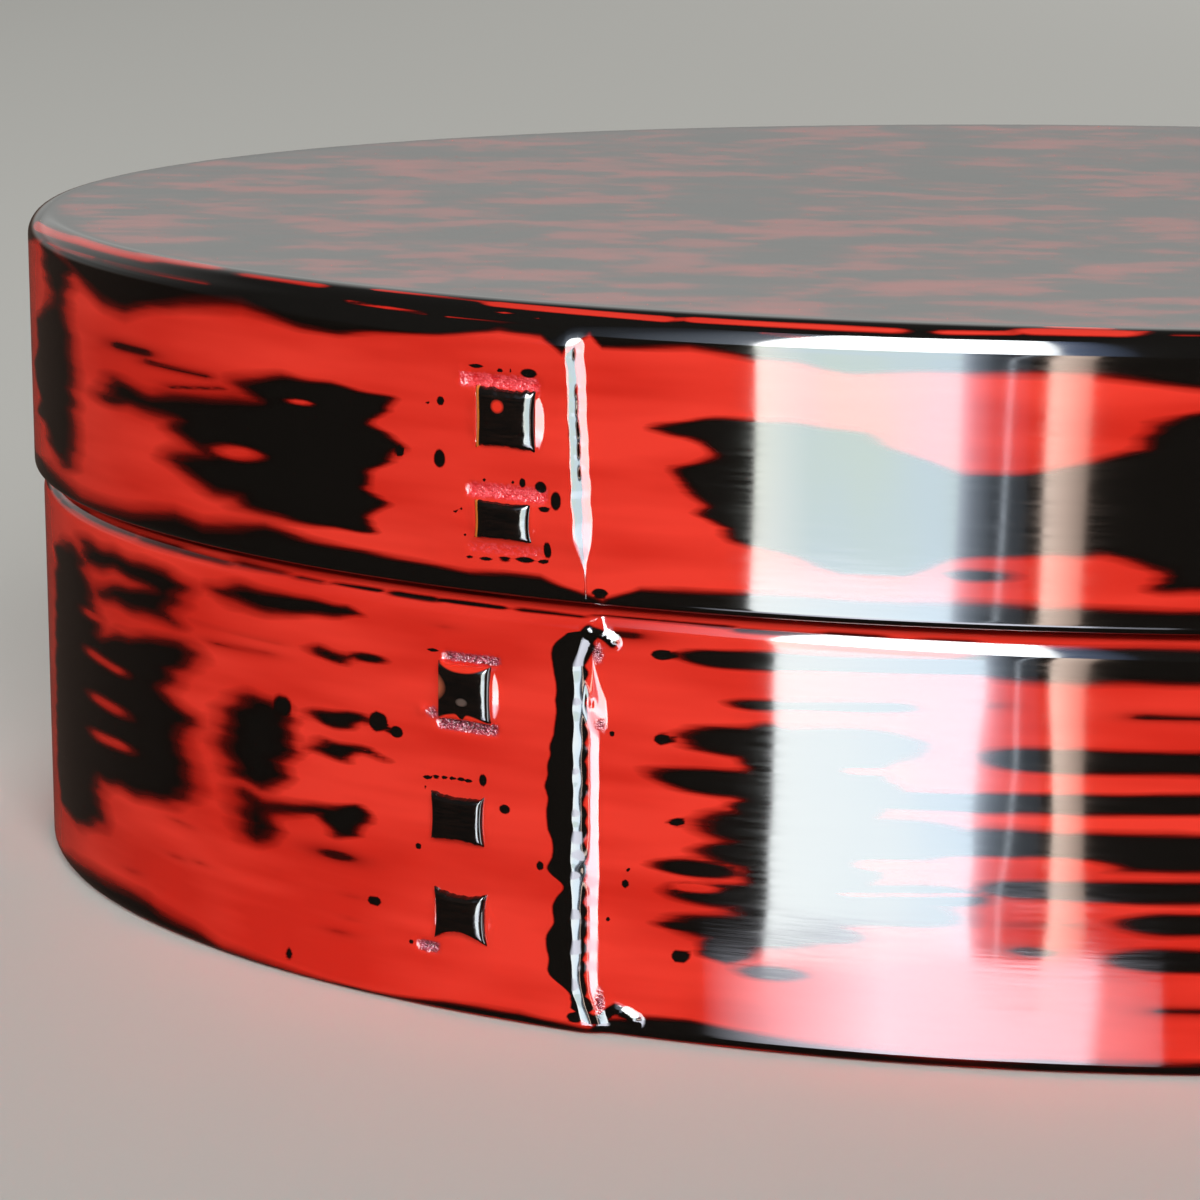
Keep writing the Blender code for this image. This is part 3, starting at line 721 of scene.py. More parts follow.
# %% Make the boards from rings
def make_board(name, offset, low, high, rings, wave):
    outline = oval(stations, offset, 0.0)[:, :2]
    shares = list(np.linspace(0, 1, rings + 1)[1:-1]) + [0.996, 1.0]
    places = [(share, high) for share in shares] + [(share, low) for share in (1.0, 0.995, 0.5)]
    grid = np.stack([np.column_stack([outline * share, np.full(len(outline), level * MM)])
                     for share, level in places], axis=1)
    if wave:
        top = slice(0, len(shares))
        fade = np.minimum(1 - np.array(shares), 0.05) / 0.05
        x, y = grid[:, top, 0] / MM, grid[:, top, 1] / MM
        grid[:, top, 2] += wave * MM * fade * wobble(x + 0.3 * y, 31, 34) * wobble(y - 0.2 * x, 32, 27)
    mesh = grid_mesh(name, grid, closed_rows=False)
    work = bmesh.new()
    work.from_mesh(mesh)
    holes = [edge for edge in work.edges if edge.is_boundary]
    filled = bmesh.ops.holes_fill(work, edges=holes, sides=0)["faces"]
    bmesh.ops.poke(work, faces=filled)
    work.to_mesh(mesh)
    work.free()
    finish_mesh(mesh)
    return new_object(name, mesh)


lid_top = make_board("lid_top", LID_OUT - LID_WALL, LID_TOP - BOARD, LID_TOP, 46, 0.012)
case_floor = make_board("case_floor", -CASE_WALL + 0.1, 0.0, BOARD, 8, 0.0)


# %% [markdown]
# The locating rim
#
# A thin oval stands inside the case and keeps the lid in place. It is one section carried along one closed
# line, which is exactly what Geometry Nodes do with Curve to Mesh: the line comes in as a ring of edges,
# the section is a filleted rectangle, and both sizes are inputs that can be changed later.


# %% A small function that adds a node with its settings and links
class Wire:
    """One output of a node. Signs such as + and * between wires and numbers add Math nodes to their tree."""

    def __init__(self, tree, made, output):
        self.tree, self.node = tree, made
        self.socket = made.outputs[output] if made.outputs else None

    def __getitem__(self, output):
        return Wire(self.tree, self.node, output)

    def clamped(self):
        self.node.use_clamp = True
        return self

    def maths(self, operation, other=0.0):
        return node(self.tree, "ShaderNodeMath", self, other, operation=operation)

    def maths_from(self, operation, other):
        return node(self.tree, "ShaderNodeMath", other, self, operation=operation)

    __add__ = partialmethod(maths, "ADD")
    __sub__ = partialmethod(maths, "SUBTRACT")
    __mul__ = partialmethod(maths, "MULTIPLY")
    __truediv__ = partialmethod(maths, "DIVIDE")
    __pow__ = partialmethod(maths, "POWER")
    __rsub__ = partialmethod(maths_from, "SUBTRACT")
    __rpow__ = partialmethod(maths_from, "POWER")


def node(tree, kind, *inputs, output=0, **named):
    """Adds a node. Names with a capital letter are inputs, with _ for a space, and the others settings."""
    made = tree.nodes.new(kind)
    given = dict(enumerate(inputs))
    for key, value in named.items():
        if key[0].isupper():
            given[key.replace("_", " ")] = value
        else:
            setattr(made, key, value)
    for key, value in given.items():
        if isinstance(value, Wire):
            tree.links.new(value.socket, made.inputs[key])
        else:
            made.inputs[key].default_value = value
    return Wire(tree, made, output)


# %% Begin and end a tree of Geometry Nodes, and apply it
def new_tree(name, sizes):
    """A tree that takes a geometry, sizes with their names and a finish, and the identifier of each."""
    tree = bpy.data.node_groups.new(name, "GeometryNodeTree")
    labels = {"Geometry": "Geometry", **dict.fromkeys(sizes, "Float"), "Finish": "Material"}
    keys = {}
    for label, kind in labels.items():
        socket = tree.interface.new_socket(label, in_out="INPUT", socket_type="NodeSocket" + kind)
        if label in sizes:
            socket.default_value = sizes[label]
        keys[label] = socket.identifier
    tree.interface.new_socket("Geometry", in_out="OUTPUT", socket_type="NodeSocketGeometry")
    return tree, keys, node(tree, "NodeGroupInput")


def end_tree(tree, given, shape):
    """Every tree ends in a real mesh with its finish on it."""
    real = node(tree, "GeometryNodeRealizeInstances", shape)
    coated = node(tree, "GeometryNodeSetMaterial", Geometry=real, Material=given["Finish"])
    node(tree, "NodeGroupOutput", Geometry=coated)


def apply_nodes(obj, tree, keys, values):
    """Sets a tree's inputs by identifier, then turns the result into the object's plain mesh."""
    modifier = obj.modifiers.new(tree.name, "NODES")
    modifier.node_group = tree
    for label, value in values.items():
        modifier[keys[label]] = value
    graph = bpy.context.evaluated_depsgraph_get()
    result = bpy.data.meshes.new_from_object(obj.evaluated_get(graph), depsgraph=graph)
    obj.modifiers.remove(modifier)
    obj.data = result


# %% [markdown]
# The finishes
#
# Urushi is tree sap that cures to a hard, clear, glossy skin with a refractive index near 1.54. Here black
# urushi lies below and a cinnabar red above. The material reads the values stored on the mesh and adds two
# streaky noises on Object coordinates: the streaks left by rubbing are about 12 mm long and 1.2 mm high,
# and the finest brush lines are a fifth of that. Where the sum is above 0 the black shows, and the edge
# between is dark red.


# %% Colours are written as hex and turned to linear by one function
LACQUER_IOR = 1.54


def linear(text):
    parts = [int(text[i:i + 2], 16) / 255 for i in (0, 2, 4)]
    return tuple(p / 12.92 if p <= 0.04045 else ((p + 0.055) / 1.055) ** 2.4 for p in parts) + (1.0,)


def emptied(owner):
    """A new material or world with an empty tree."""
    owner.use_nodes = True
    owner.node_tree.nodes.clear()
    return owner, owner.node_tree


def scaled_noise(tree, size, detail=3.0, roughness=0.55, turn=(0, 0, 0)):
    """Noise on Object coordinates whose features have the given sizes in millimetres."""
    place = node(tree, "ShaderNodeTexCoord")["Object"]
    scale = tuple(1 / (v * MM) for v in size)
    mapped = node(tree, "ShaderNodeMapping", Vector=place, Scale=scale, Rotation=turn)
    return node(tree, "ShaderNodeTexNoise", Vector=mapped, Scale=1.0, Detail=detail, Roughness=roughness,
                output="Fac")


def ramp(tree, value, stops):
    """Colours that follow a value, given as places between 0 and 1 and their hex colours."""
    made = node(tree, "ShaderNodeValToRGB", value)
    band = made.node.color_ramp
    while len(band.elements) < len(stops):
        band.elements.new(0.5)
    for element, (place, colour) in zip(band.elements, stops):
        element.position = place
        element.color = linear(colour)
    return made


def value_of(tree, name):
    """A value that was stored on the mesh's points."""
    return node(tree, "ShaderNodeAttribute", attribute_name=name)["Fac"]


def coats(tree, colour, *layers, **settings):
    """Lays colours over one another, each as far as its share says."""
    for share, over in layers:
        over = linear(over) if isinstance(over, str) else over
        colour = node(tree, "ShaderNodeMix", Factor=share, A=colour, B=over, output="Result",
                      data_type="RGBA", **settings)
    return colour


def lacquered(made, colour, rough, lines, depth, **below):
    """Cured lacquer with the given colour and roughness, and lines of a depth in millimetres."""
    tree = made.node_tree
    relief = node(tree, "ShaderNodeBump", Strength=1.0, Distance=depth * MM, Height=lines, **below)
    shader = node(tree, "ShaderNodeBsdfPrincipled", Base_Color=colour, Roughness=rough, Normal=relief,
                  IOR=LACQUER_IOR)
    node(tree, "ShaderNodeOutputMaterial", Surface=shader)
    return made


# %% The mottled finish of the lid's top, which the wall's upper edge shares
def mottled(tree):
    """Red over black in a net of soft blotches about 6 mm long and 3 mm deep."""
    flow = scaled_noise(tree, (9.5, 5.6, 40), 2.5, 0.5, (0, 0, 0.12))
    fine = scaled_noise(tree, (3.4, 1.7, 30), 2.0, 0.5, (0, 0, -0.1))
    return ramp(tree, flow * 0.8 + fine * 0.2, [(0.42, "12100E"), (0.5, "401410"), (0.57, "7E2018"),
                                                (0.68, "98281E")])


# %% The lacquer of the walls
def wall_lacquer(name, slit_sheen_tint, sparkle):
    """Red urushi rubbed through to black: a mirror gloss, dark red borders and fine grit in the slits, whose
    colour there is a painted reflection.
    """
    made, tree = emptied(bpy.data.materials.new(name))
    streak = scaled_noise(tree, (13, 13, 1.9), 1.6, 0.5) - 0.5
    brush = scaled_noise(tree, (5.0, 5.0, 0.3), 2.0, 0.5) - 0.5
    black = (value_of(tree, "black") + (streak * 1.1 + brush * 0.2)) * value_of(tree, "crisp")
    # Smears darken the red here, and on the case's shoulder the same value is painted shade.
    smoke = value_of(tree, "smoke")
    smoke = ((smoke + streak * 0.9) * smoke * 0.62).clamped()
    tone = (black * 0.5 + 0.5).clamped().maths("MAXIMUM", smoke)
    grit = scaled_noise(tree, (0.42, 0.42, 0.32), 2.0, 0.65)
    pits = value_of(tree, "pits")
    pits = ((pits + (grit - 0.5) * 1.3) * 2.2 - 0.6).clamped() * pits
    cloud = scaled_noise(tree, (26, 26, 5), 2.0, 0.5) + streak * 0.45
    base = ramp(tree, cloud, [(0.3, "C8281C"), (0.62, "E23A2C")])
    # The slit colour is a painted reflection: pink and pale flecks of light caught by the rough slits.
    slit_sheen_colour = ramp(tree, grit, list(zip((0.4, 0.6), slit_sheen_tint)))
    dark = ramp(tree, tone, [(0.0, "FFFFFF"), (0.3, "E8C8C0"), (0.5, "7A3A30"), (0.72, "14100E"),
                             (1.0, "0C0A09")])
    colour = coats(tree, base, (pits * 0.9, slit_sheen_colour))
    colour = coats(tree, colour, (1.0, dark), blend_type="MULTIPLY")
    colour = coats(tree, colour, (tone, "100E0C"), (value_of(tree, "flat"), mottled(tree)),
                   (value_of(tree, "inside"), "8E1A14"))
    polish = node(tree, "ShaderNodeMapRange", Value=brush, From_Min=-0.3, From_Max=0.3, To_Min=0.035,
                  To_Max=0.075)
    sunk_grit = node(tree, "ShaderNodeBump", Strength=pits, Distance=sparkle * MM, Height=grit)
    return lacquered(made, colour, polish + pits * 0.22, brush, 0.0008, Normal=sunk_grit)


# The two colours given for the slits are painted reflection laid over the lacquer.
case_lacquer = wall_lacquer("urushi_red_rubbed_case", ("3C1A26", "9A4C60"), 0.4)
lid_lacquer = wall_lacquer("urushi_red_rubbed_lid", ("C8242A", "E04C54"), 0.14)


# %% The lacquer of the lid's top and of the inside
def top_lacquer(name):
    """The same lacquer over the mottled colours, polished a little less, so that it mirrors softly."""
    made, tree = emptied(bpy.data.materials.new(name))
    fine = scaled_noise(tree, (7, 1.3, 30), 3.0, 0.6, (0, 0, -0.1))
    rough = node(tree, "ShaderNodeMapRange", Value=fine, From_Min=0.2, From_Max=0.8, To_Min=0.08, To_Max=0.14)
    return lacquered(made, mottled(tree), rough, fine, 0.003)


def plain_lacquer(name, light, dark, size, roughness):
    """Deep red that was never rubbed through, with a cloudy tone and a satin gloss."""
    made, tree = emptied(bpy.data.materials.new(name))
    cloud = scaled_noise(tree, size, 3.0, 0.6)
    lines = scaled_noise(tree, (9, 9, 0.4), 2.0, 0.5)
    colour = ramp(tree, cloud, [(0.35, dark), (0.65, light)])
    rough = node(tree, "ShaderNodeMapRange", Value=cloud, To_Min=roughness * 0.8, To_Max=roughness * 1.25)
    return lacquered(made, colour, rough, lines, 0.002)


# %% The lacquered bark: black, with rubbed edges and a little red left on some turns
def bark_lacquer(name):
    """Bark under black lacquer: glossy and nearly black, with the red and amber that rubbing left, and a
    painted highlight on a small bubble.
    """
    made, tree = emptied(bpy.data.materials.new(name))
    grain = scaled_noise(tree, (2.2, 2.2, 0.16), 3.0, 0.6)
    across, up, glaze = (value_of(tree, key) for key in ("across", "up", "glaze"))

    def above(value, level, soft):
        return ((value - level) / soft).clamped()

    def round_spot(middle, level, wide, tall):
        side, rise = (across - middle) / wide, (up - level) / tall
        return (1.5 - (side * side + rise * rise)).clamped()

    body = ramp(tree, grain, [(0.4, "0C0B0A"), (0.75, "1E1410")])
    square = across * across
    lobe = square * 0.24 + 0.74
    notch = 2.718 ** (square * -55.0)
    top = above(up, lobe, 0.06)
    bottom = above(up * -1.0, lobe + notch * 0.22 - 0.05, 0.06)
    high = up - 0.15
    left = above(across * -1.0, high * high * 1.4 + 0.58, 0.3)
    edge = across * -1.0 + grain * -0.03
    amber = ramp(tree, edge, [(0.82, "000000"), (0.84, "FFFFFF"), (0.915, "FFFFFF"), (0.94, "000000")])
    colour = coats(tree, body, (left * (glaze * 0.9), "B05A40"),
                   (top.maths("MAXIMUM", bottom) * glaze, "DC3422"),
                   (amber * value_of(tree, "amber"), "C8702C"),
                   (round_spot(-0.2, 0.45, 0.19, 0.2) * value_of(tree, "spot"), "D83020"),
                   # a painted highlight: the grey-brown lens of a small bubble low in the middle of the turns
                   # that keep red
                   (round_spot(0.02, -0.28, 0.2, 0.13) * glaze, "5A4C46"))
    rough = node(tree, "ShaderNodeMapRange", Value=grain, To_Min=0.05, To_Max=0.11)
    return lacquered(made, colour, rough, grain, 0.004)


lid_top_lacquer = top_lacquer("urushi_mottled_top")
floor_lacquer = plain_lacquer("urushi_deep_red_floor", "8E1A14", "6E120E", (30, 9, 9), 0.12)
rim_lacquer = plain_lacquer("urushi_deep_red_rim", "96201A", "7A1410", (24, 24, 3), 0.1)
case_bark = bark_lacquer("cherry_bark_black_lacquer_case")
lid_bark = bark_lacquer("cherry_bark_black_lacquer_lid")
for piece, finish in ((case_wall, case_lacquer), (lid_wall, lid_lacquer), (lid_top, lid_top_lacquer),
                      (case_floor, floor_lacquer)):
    piece.data.materials.append(finish)
    print(piece.name, "is finished with", finish.name)


# %% Build the rim with Geometry Nodes
def rim_tree():
    sizes = {"Wall": 0.0026, "Height": 0.016, "Rounding": 0.0009}
    tree, keys, given = new_tree("carry_a_section_round", sizes)
    path = node(tree, "GeometryNodeMeshToCurve", Mesh=given["Geometry"])
    upright = node(tree, "GeometryNodeSetCurveNormal", Curve=path, mode="Z_UP")
    section = node(tree, "GeometryNodeCurvePrimitiveQuadrilateral", Width=given["Wall"],
                   Height=given["Height"])
    eased = node(tree, "GeometryNodeFilletCurve", Curve=section, Count=6, Radius=given["Rounding"],
                 mode="POLY")
    end_tree(tree, given, node(tree, "GeometryNodeCurveToMesh", Curve=upright, Profile_Curve=eased))
    return tree, keys


rim_places = np.concatenate([spread(-ROUND / 2, LAP_EDGE - LAP_LENGTH - 4, 2.2), spread(-97, -50, 1.0),
                             spread(-50, ROUND / 2, 2.2)])
rim_line = oval(rim_places, RIM_OFFSET - RIM_WALL / 2 - inner_lap(rim_places), (RIM_LOW + RIM_HIGH) / 2)
ring = [(i, (i + 1) % len(rim_line)) for i in range(len(rim_line))]
rim = new_object("locating_rim_ring", new_mesh("locating_rim_ring", rim_line.tolist(), ring))
tree, keys = rim_tree()
apply_nodes(rim, tree, keys, {"Wall": RIM_WALL * MM, "Height": (RIM_HIGH - RIM_LOW) * MM, "Rounding": 0.0009,
                              "Finish": rim_lacquer})
finish_mesh(rim.data, 40)


# %% [markdown]
# The bark stitches
#
# A strip of bark is woven through the slits, and each turn outside swells into a small cushion under its
# black lacquer: nearly flat in the middle, falling faster towards its sides, with corners drawn out a
# little. The cushions repeat, so Geometry Nodes shape one from a fine box and set it on points that carry
# its size and turn.


# %% Build the stitches with Geometry Nodes
def stitch_tree():
    tree, keys, given = new_tree("bark_cushions", {"Unevenness": 0.00012, "Seed": 4.0})

    def stored(name):
        return node(tree, "GeometryNodeInputNamedAttribute", Name=name, data_type="FLOAT_VECTOR")

    def split(name):
        return node(tree, "ShaderNodeSeparateXYZ", stored(name))

    def vectors(operation, first, second):
        return node(tree, "ShaderNodeVectorMath", first, second, operation=operation)

    def scaled(vector, scale):
        return node(tree, "ShaderNodeVectorMath", vector, Scale=scale, operation="SCALE")

    def keep(geometry, name, kind, value):
        return node(tree, "GeometryNodeStoreNamedAttribute", Geometry=geometry, Name=name, Value=value,
                    data_type=kind, domain="POINT")

    def seeded_noise(place, output):
        return node(tree, "ShaderNodeTexNoise", Vector=place, W=given["Seed"], Scale=1.0, Detail=2.0,
                    output=output, noise_dimensions="4D")

    # The block is cut finely where it shows, 46 by 36 faces, so that its corners stay round.
    block = node(tree, "GeometryNodeMeshCube", Size=(2, 2, 2), Vertices_X=47, Vertices_Y=4, Vertices_Z=37)
    own = keep(block, "own", "FLOAT_VECTOR", node(tree, "GeometryNodeInputPosition"))
    set_out = node(tree, "GeometryNodeInstanceOnPoints", Points=given["Geometry"], Instance=own)
    real = node(tree, "GeometryNodeRealizeInstances", set_out)

    x, y, z = split("own")
    flat, side_fall, ragged = split("shape")
    top, bottom, waist = split("pinch")
    across, up = x.maths("ABSOLUTE"), z.maths("ABSOLUTE")
    edges = (1.0 - across ** 26.0) ** 0.6 * (1.0 - up ** 14.0) ** 0.6
    side = (across - flat).maths("MAXIMUM") / (1.0 - flat)
    swell = (1.0 - side ** 2.0 * side_fall - up ** 2.0 * 0.1) * edges
    depth = y.maths("MINIMUM") * (swell + 0.02) + y.maths("MAXIMUM") * 0.8
    drawn = top + z.maths("LESS_THAN") * (bottom - top)
    new_x = x * (1.0 - (1.0 - up ** 2.0) * waist)
    new_z = z * (1.0 - (1.0 - across ** 2.0) * drawn)

    centre = stored("centre")
    stretched = vectors("MULTIPLY", stored("own"), (4.5, 0.0, 1.0))
    spot = vectors("ADD", stretched, scaled(centre, 700.0))
    new_z = new_z + (seeded_noise(spot, "Fac") - 0.5) * up ** 5.0 * ragged
    formed = node(tree, "ShaderNodeCombineXYZ", new_x, depth, new_z)
    sized = vectors("MULTIPLY", formed, stored("size"))
    turned = node(tree, "ShaderNodeVectorRotate", Vector=sized, Angle=split("turn"), rotation_type="Z_AXIS")
    place = vectors("ADD", turned, centre)
    fine = seeded_noise(scaled(place, 1 / (1.3 * MM)), "Color")
    shift = scaled(vectors("SUBTRACT", fine, (0.5, 0.5, 0.5)), given["Unevenness"])
    kept = keep(keep(real, "across", "FLOAT", x), "up", "FLOAT", z)
    end_tree(tree, given, node(tree, "GeometryNodeSetPosition", Geometry=kept,
                               Position=vectors("ADD", place, shift)))
    return tree, keys


# %% List the turns of bark and make them
STILL = {"shape": (0.35, 0.41, 0.0), "pinch": (0.08, 0.08, 0.05), "tilt": 0.0, "glaze": 0.0, "amber": 0.0,
         "spot": 0.0}


def stitch_points(name, turns):
    """One point for each turn of bark, with its size, its way of facing and its own small traits."""
    along, height, out = (np.array(values, dtype=float) for values in zip(*(t["at"] for t in turns)))
    centres = oval(along, out, height)
    mesh = new_mesh(name, centres.tolist())
    turn = np.interp(along, runs, angles)
    facing = np.arctan2(np.sin(turn) / HALF_LENGTH, np.cos(turn) / HALF_WIDTH)
    rows = [{**STILL, **t, "centre": centres[k], "size": np.array(t["size"]) * MM, "turn": (facing[k], 0, 0)}
            for k, t in enumerate(turns)]
    for key in ("centre", "size", "turn", "shape", "pinch"):
        layer = mesh.attributes.new(key, "FLOAT_VECTOR", "POINT")
        for k, row in enumerate(rows):
            layer.data[k].vector = row[key]
    put_values(mesh, **{key: [row[key] for row in rows] for key in ("glaze", "amber", "spot")})
    return new_object(name, mesh)


def outside(pillow, base, step, lift, **traits):
    s, z, wide, high = pillow
    return {"at": (s, z, base + step * float(lap_fade(s))), "size": (wide, lift, high), **traits}


def inner_turn(s, z, out, high):
    return {"at": (s, z, out), "size": (2.4, -0.45, high)}


case_turns = [
    outside(CASE_PILLOWS[0], 0, CASE_STEP, 0.66, glaze=1.0, pinch=(0.04, 0.05, 0.02)),
    outside(CASE_PILLOWS[1], 0, CASE_STEP, 0.55, shape=(0.35, 0.34, 0.24), pinch=(0.13, 0.12, 0.07)),
    outside(CASE_PILLOWS[2], 0, CASE_STEP, 0.6, shape=(0.35, 0.46, 0.18), pinch=(0.2, 0.4, 0.1)),
    inner_turn(-63.3, 21.9, -CASE_WALL - 0.38, 2.2), inner_turn(-63.3, 12.4, -CASE_WALL - 0.38, 1.8),
]
lid_turns = [
    outside(LID_PILLOWS[0], LID_OUT, LID_STEP, 0.64, shape=(0.35, 0.5, 0.28), pinch=(0.04, 0.1, 0.05),
            amber=1.0, spot=1.0),
    outside(LID_PILLOWS[1], LID_OUT, LID_STEP, 0.6, shape=(0.3, 0.5, 0.16), pinch=(0.08, 0.07, 0.05),
            amber=1.0),
    inner_turn(-59.4, 45.0, LID_OUT - LID_WALL - 0.3, 1.3),
]
tree, keys = stitch_tree()
case_stitches = stitch_points("case_stitches", case_turns)
lid_stitches = stitch_points("lid_stitches", lid_turns)
for piece, finish in ((case_stitches, case_bark), (lid_stitches, lid_bark)):
    apply_nodes(piece, tree, keys, {"Unevenness": 0.00005, "Seed": 4.0, "Finish": finish})
    finish_mesh(piece.data, 60)


# %% [markdown]
# Say which body each piece rides on
#
# Every finished piece replaces its CAD node and rides on that node's body, so that the lid's wall, board
# and bark rise together when the lid is lifted.


# %% Ride and replace
for piece, body, cad, slot in (
    (case_wall, "case", "case_side_band", "case_lacquer"),
    (case_floor, "case", "base_board", "base_lacquer"),
    (case_stitches, "case", "case_bark_stitch", "case_bark"),
    (rim, "case", "locating_rim", "rim_lacquer"),
    (lid_wall, "lid", "lid_side_band", "lid_lacquer"),
    (lid_top, "lid", "lid_top_board", "lid_top_lacquer"),
    (lid_stitches, "lid", "lid_bark_stitch", "lid_bark"),
):
    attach(piece, body)
    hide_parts(cad)
    print(piece.name, "rides on", body)


# %% [markdown]
# The camera
#
# It stands low and close, a little left of the middle, and looks down about 14 degrees. The place and turn
# were fitted to the oval's own lines, with a picture 1200 pixels wide and high.


# %% Place the camera
FOCAL_PIXELS, PICTURE = 3600.0, 1200.0
CAMERA_PLACE = (-55.92, -324.14, 102.66)
pitch, yaw, roll = 0.2463, -0.0205, 0.0086
forward = Vector((-math.sin(yaw) * math.cos(pitch), math.cos(yaw) * math.cos(pitch), -math.sin(pitch)))
side = Vector((math.cos(yaw), math.sin(yaw), 0.0))
above = side.cross(forward)
camera_x = side * math.cos(roll) + above * math.sin(roll)
camera_y = -side * math.sin(roll) + above * math.cos(roll)
lens = bpy.data.cameras.new("camera")
lens.sensor_fit, lens.sensor_width = "HORIZONTAL", 36.0
lens.lens = FOCAL_PIXELS / PICTURE * lens.sensor_width
lens.clip_start, lens.clip_end = 0.01, 100.0
camera = new_object("camera", lens)
turned = Matrix((camera_x, camera_y, -forward)).transposed().to_4x4()
camera.matrix_world = Matrix.Translation(Vector(CAMERA_PLACE) * MM) @ turned
bpy.context.scene.camera = camera
print("lens", lens.lens, "mm")


# %% [markdown]
# Floor and light
#
# The floor is a wide pale disc. Soft lamps light the colours evenly. A lacquered wall shows its gloss only
# by what it mirrors, so tall bright panels stand round the box as window-shaped reflectors, seen by glossy
# rays alone. The floor isn't mirrored, so that the rubbed-through black stays deep.


# %% Make the floor
pale, tree = emptied(bpy.data.materials.new("pale_floor"))
above_floor = node(tree, "ShaderNodeBsdfDiffuse", Color=linear("C2C1BC"))
below_floor = node(tree, "ShaderNodeBsdfTransparent")
seen = node(tree, "ShaderNodeMixShader", node(tree, "ShaderNodeNewGeometry")["Backfacing"], above_floor,
            below_floor)
node(tree, "ShaderNodeOutputMaterial", Surface=seen)

FLOOR_RADIUS = 20
turns = np.linspace(0, 2 * math.pi, 97)[:-1]
disc = [(FLOOR_RADIUS * math.cos(a), FLOOR_RADIUS * math.sin(a), 0.0) for a in turns]
floor = new_object("floor", new_mesh("floor", disc, [], [list(range(len(disc)))]))
floor.data.materials.append(pale)
floor.visible_glossy = False
floor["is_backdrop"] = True


# %% Make the world and the soft lamps
def curve_of(tree, value, points):
    """A value read from a curve that is drawn through a few points between 0 and 1 across."""
    top = max(p[1] for p in points)
    made = node(tree, "ShaderNodeFloatCurve", Value=value)
    mapping = made.node.mapping
    drawn = mapping.curves[0].points
    for k, (across, up) in enumerate(points):
        if k < 2:
            drawn[k].location = (across, up / top)
        else:
            drawn.new(across, up / top)
    for point in drawn:
        point.handle_type = "VECTOR"
    mapping.update()
    return made * top


bpy.context.scene.world, tree = emptied(bpy.data.worlds.new("soft_room"))
way = node(tree, "ShaderNodeSeparateXYZ", node(tree, "ShaderNodeTexCoord")["Generated"])
back, above_line = (node(tree, "ShaderNodeMapRange", Value=way[k], From_Min=low, From_Max=high,
                         interpolation_type="SMOOTHSTEP")
                    for k, low, high in ((1, -0.1, 0.7), (2, -0.06, 0.06)))
high = curve_of(tree, way[2], [(0.0, 0.5), (0.125, 0.5), (0.19, 0.84), (0.5, 0.84), (0.72, 0.1), (1.0, 0.08)])
upper = node(tree, "ShaderNodeMix", Factor=back, A=0.07, B=high, data_type="FLOAT")
lower = node(tree, "ShaderNodeMapRange", Value=back, To_Min=0.02, To_Max=0.07)
level = node(tree, "ShaderNodeMix", Factor=above_line, A=lower, B=upper, data_type="FLOAT")
tint = coats(tree, linear("FFD8C4"), (above_line, "F4F5F2"))
glow = node(tree, "ShaderNodeBackground", Color=tint, Strength=level)
node(tree, "ShaderNodeOutputWorld", Surface=glow)

for name, place, size, power in (("lamp_front", (0.1, -1.5, 0.9), 1.0, 31.5),
                                 ("lamp_left", (-1.5, -0.3, 0.9), 0.9, 6.5),
                                 ("lamp_back", (0.9, 1.4, 1.0), 1.2, 14.0)):
    light = bpy.data.lights.new(name, "AREA")
    light.shape, light.size, light.energy = "SQUARE", size, power
    lamp = new_object(name, light)
    lamp.location = place
    lamp.rotation_mode = "QUATERNION"
    lamp.rotation_quaternion = Vector(place).to_track_quat("Z", "Y")
    lamp.visible_camera = lamp.visible_glossy = False
    print(name, power, "W")


# %% Stand the reflector panels round the box
CENTRE = (-0.030, -0.063, 0.035)
ACROSS = 24


def panel(name, start, stop, low, high, stops, radius=1.6, lean=0.0, far_tint=None):
    """A curved panel between two bearings and two elevations in degrees. Bearing 0 is straight in front."""
    points, shares = [], []
    for i, bearing in enumerate(np.linspace(start, stop, ACROSS + 1)):
        for j, level in enumerate(np.linspace(low, high, ACROSS + 1)):
            turn = math.radians(bearing + lean * j / ACROSS)
            points.append((CENTRE[0] - radius * math.sin(turn), CENTRE[1] - radius * math.cos(turn),
                           CENTRE[2] + radius * math.tan(math.radians(level))))
            shares.append(i / ACROSS)
    corners = [i * (ACROSS + 1) + j for i in range(ACROSS) for j in range(ACROSS)]
    mesh = new_mesh(name, points, [], [(k, k + 1, k + ACROSS + 2, k + ACROSS + 1) for k in corners])
    put_values(mesh, share=shares)
    material, tree = emptied(bpy.data.materials.new(name))
    material.cycles.emission_sampling = "NONE"
    share = value_of(tree, "share")
    drift = node(tree, "ShaderNodeMapRange", Value=scaled_noise(tree, (260, 260, 150), 2.0, 0.5),
                 From_Min=0.4, From_Max=0.7, To_Max=0.6)
    cast = coats(tree, ramp(tree, share, [(p, c) for p, c, s in stops]), (drift, far_tint or stops[0][1]))
    power = curve_of(tree, share, [(p, s) for p, c, s in stops])
    light = node(tree, "ShaderNodeEmission", Color=cast, Strength=power)
    node(tree, "ShaderNodeOutputMaterial", Surface=light)
    mesh.materials.append(material)
    made = new_object(name, mesh)
    made.visible_camera = made.visible_diffuse = made.visible_shadow = False
    made.visible_transmission = made.visible_volume_scatter = False
    made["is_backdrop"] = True


def tinted(colour, *powers):
    return [(place, colour, power) for place, power in powers]


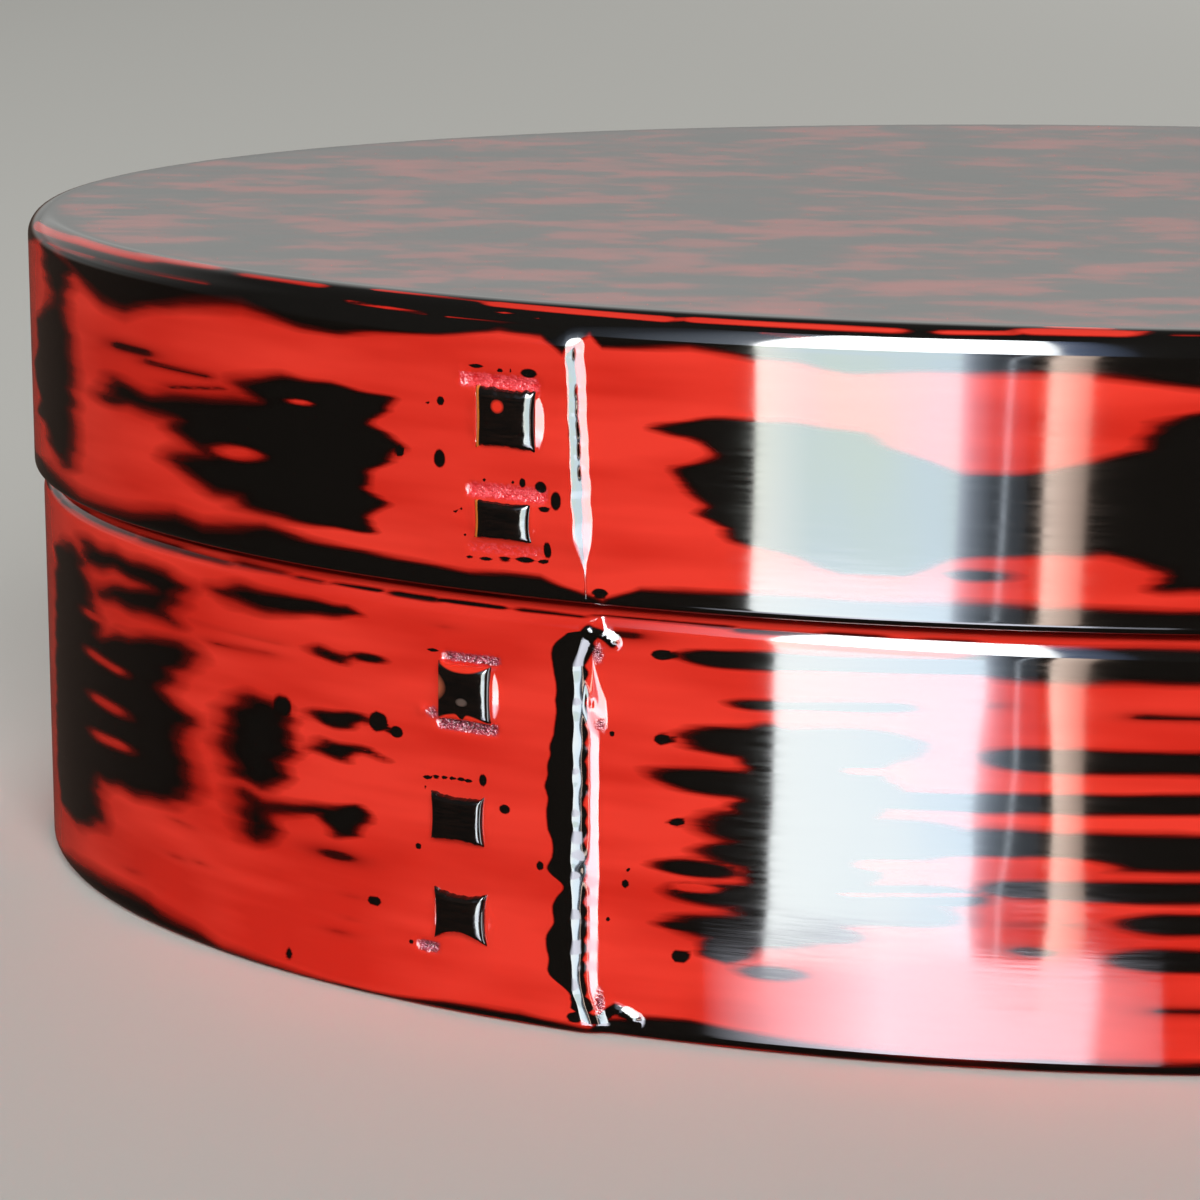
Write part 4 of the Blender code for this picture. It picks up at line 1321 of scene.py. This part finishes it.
panel("window_low", 27, 10.4, -13.5, 3, [(0.0, "F0F2EA", 20.5), (0.3, "D6E8EE", 18.5), (1.0, "D2E6F2", 19.0)],
      far_tint="DCEAD4")
panel("window_sill", 27, 10.4, -20.4, -13.5, [(0.0, "EEF4F4", 22.5), (1.0, "D6E8F6", 22.5)])
panel("window_high", 27, 3.5, 3, 59, [(0.0, "F4F6F8", 40.0), (0.9, "F0F6FA", 40.0), (1.0, "F0F6FA", 22.0)])
panel("window_haze", 50, 27, 3, 59, [(0.0, "B8C8E0", 0.05), (0.4, "B8C8E0", 0.8), (1.0, "D0DCEA", 4.5)])
panel("haze_right", 3.5, -2, 3, 59, tinted("9AB0D8", (0.0, 6.0), (1.0, 0.5)))
panel("window_foot", 33, -6, -32, -20.4,
      tinted("E6E8F6", (0.0, 0.5), (0.18, 9.0), (0.4, 19.0), (0.83, 15.0), (0.86, 5.0), (1.0, 3.0)))
panel("pane_dim", 10.4, 5.4, -20.4, 3, [(0.0, "D0DCEC", 14.0), (0.2, "C4D4E8", 6.0), (0.5, "B8CCE0", 1.6),
                                        (1.0, "B8CCE0", 1.0)])
panel("strip_warm", 4.4, 1.4, -20.4, 3, [(0.0, "F2DCCC", 19.0), (0.45, "E8CCBC", 15.0), (1.0, "D8BCAC", 8.0)],
      lean=-0.7)
panel("pane_line", 8.2, 7.9, -20.4, 3, tinted("D8E4F0", (0.0, 12.0), (1.0, 12.0)), radius=1.58, lean=-2.9)
panel("window_right", -55, -78, -25, 50, tinted("E8F0F4", (0.0, 9.0), (1.0, 9.0)))
panel("window_back", -140, -160, -22, 2.5, tinted("E8F0F4", (0.0, 8.0), (1.0, 8.0)))
panel("window_back_high", -140, -160, 26, 50, tinted("E8F0F4", (0.0, 8.0), (1.0, 8.0)))
print("panels stand 1.6 m from the box")


# %% [markdown]
# Last, the picture's colours are taken as they are, and the sizes are printed.


# %% Colour management and sizes
bpy.context.scene.view_settings.view_transform = "Standard"
low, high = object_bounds()
print("visual box in mm", [round(1000 * v, 2) for v in low], [round(1000 * v, 2) for v in high])
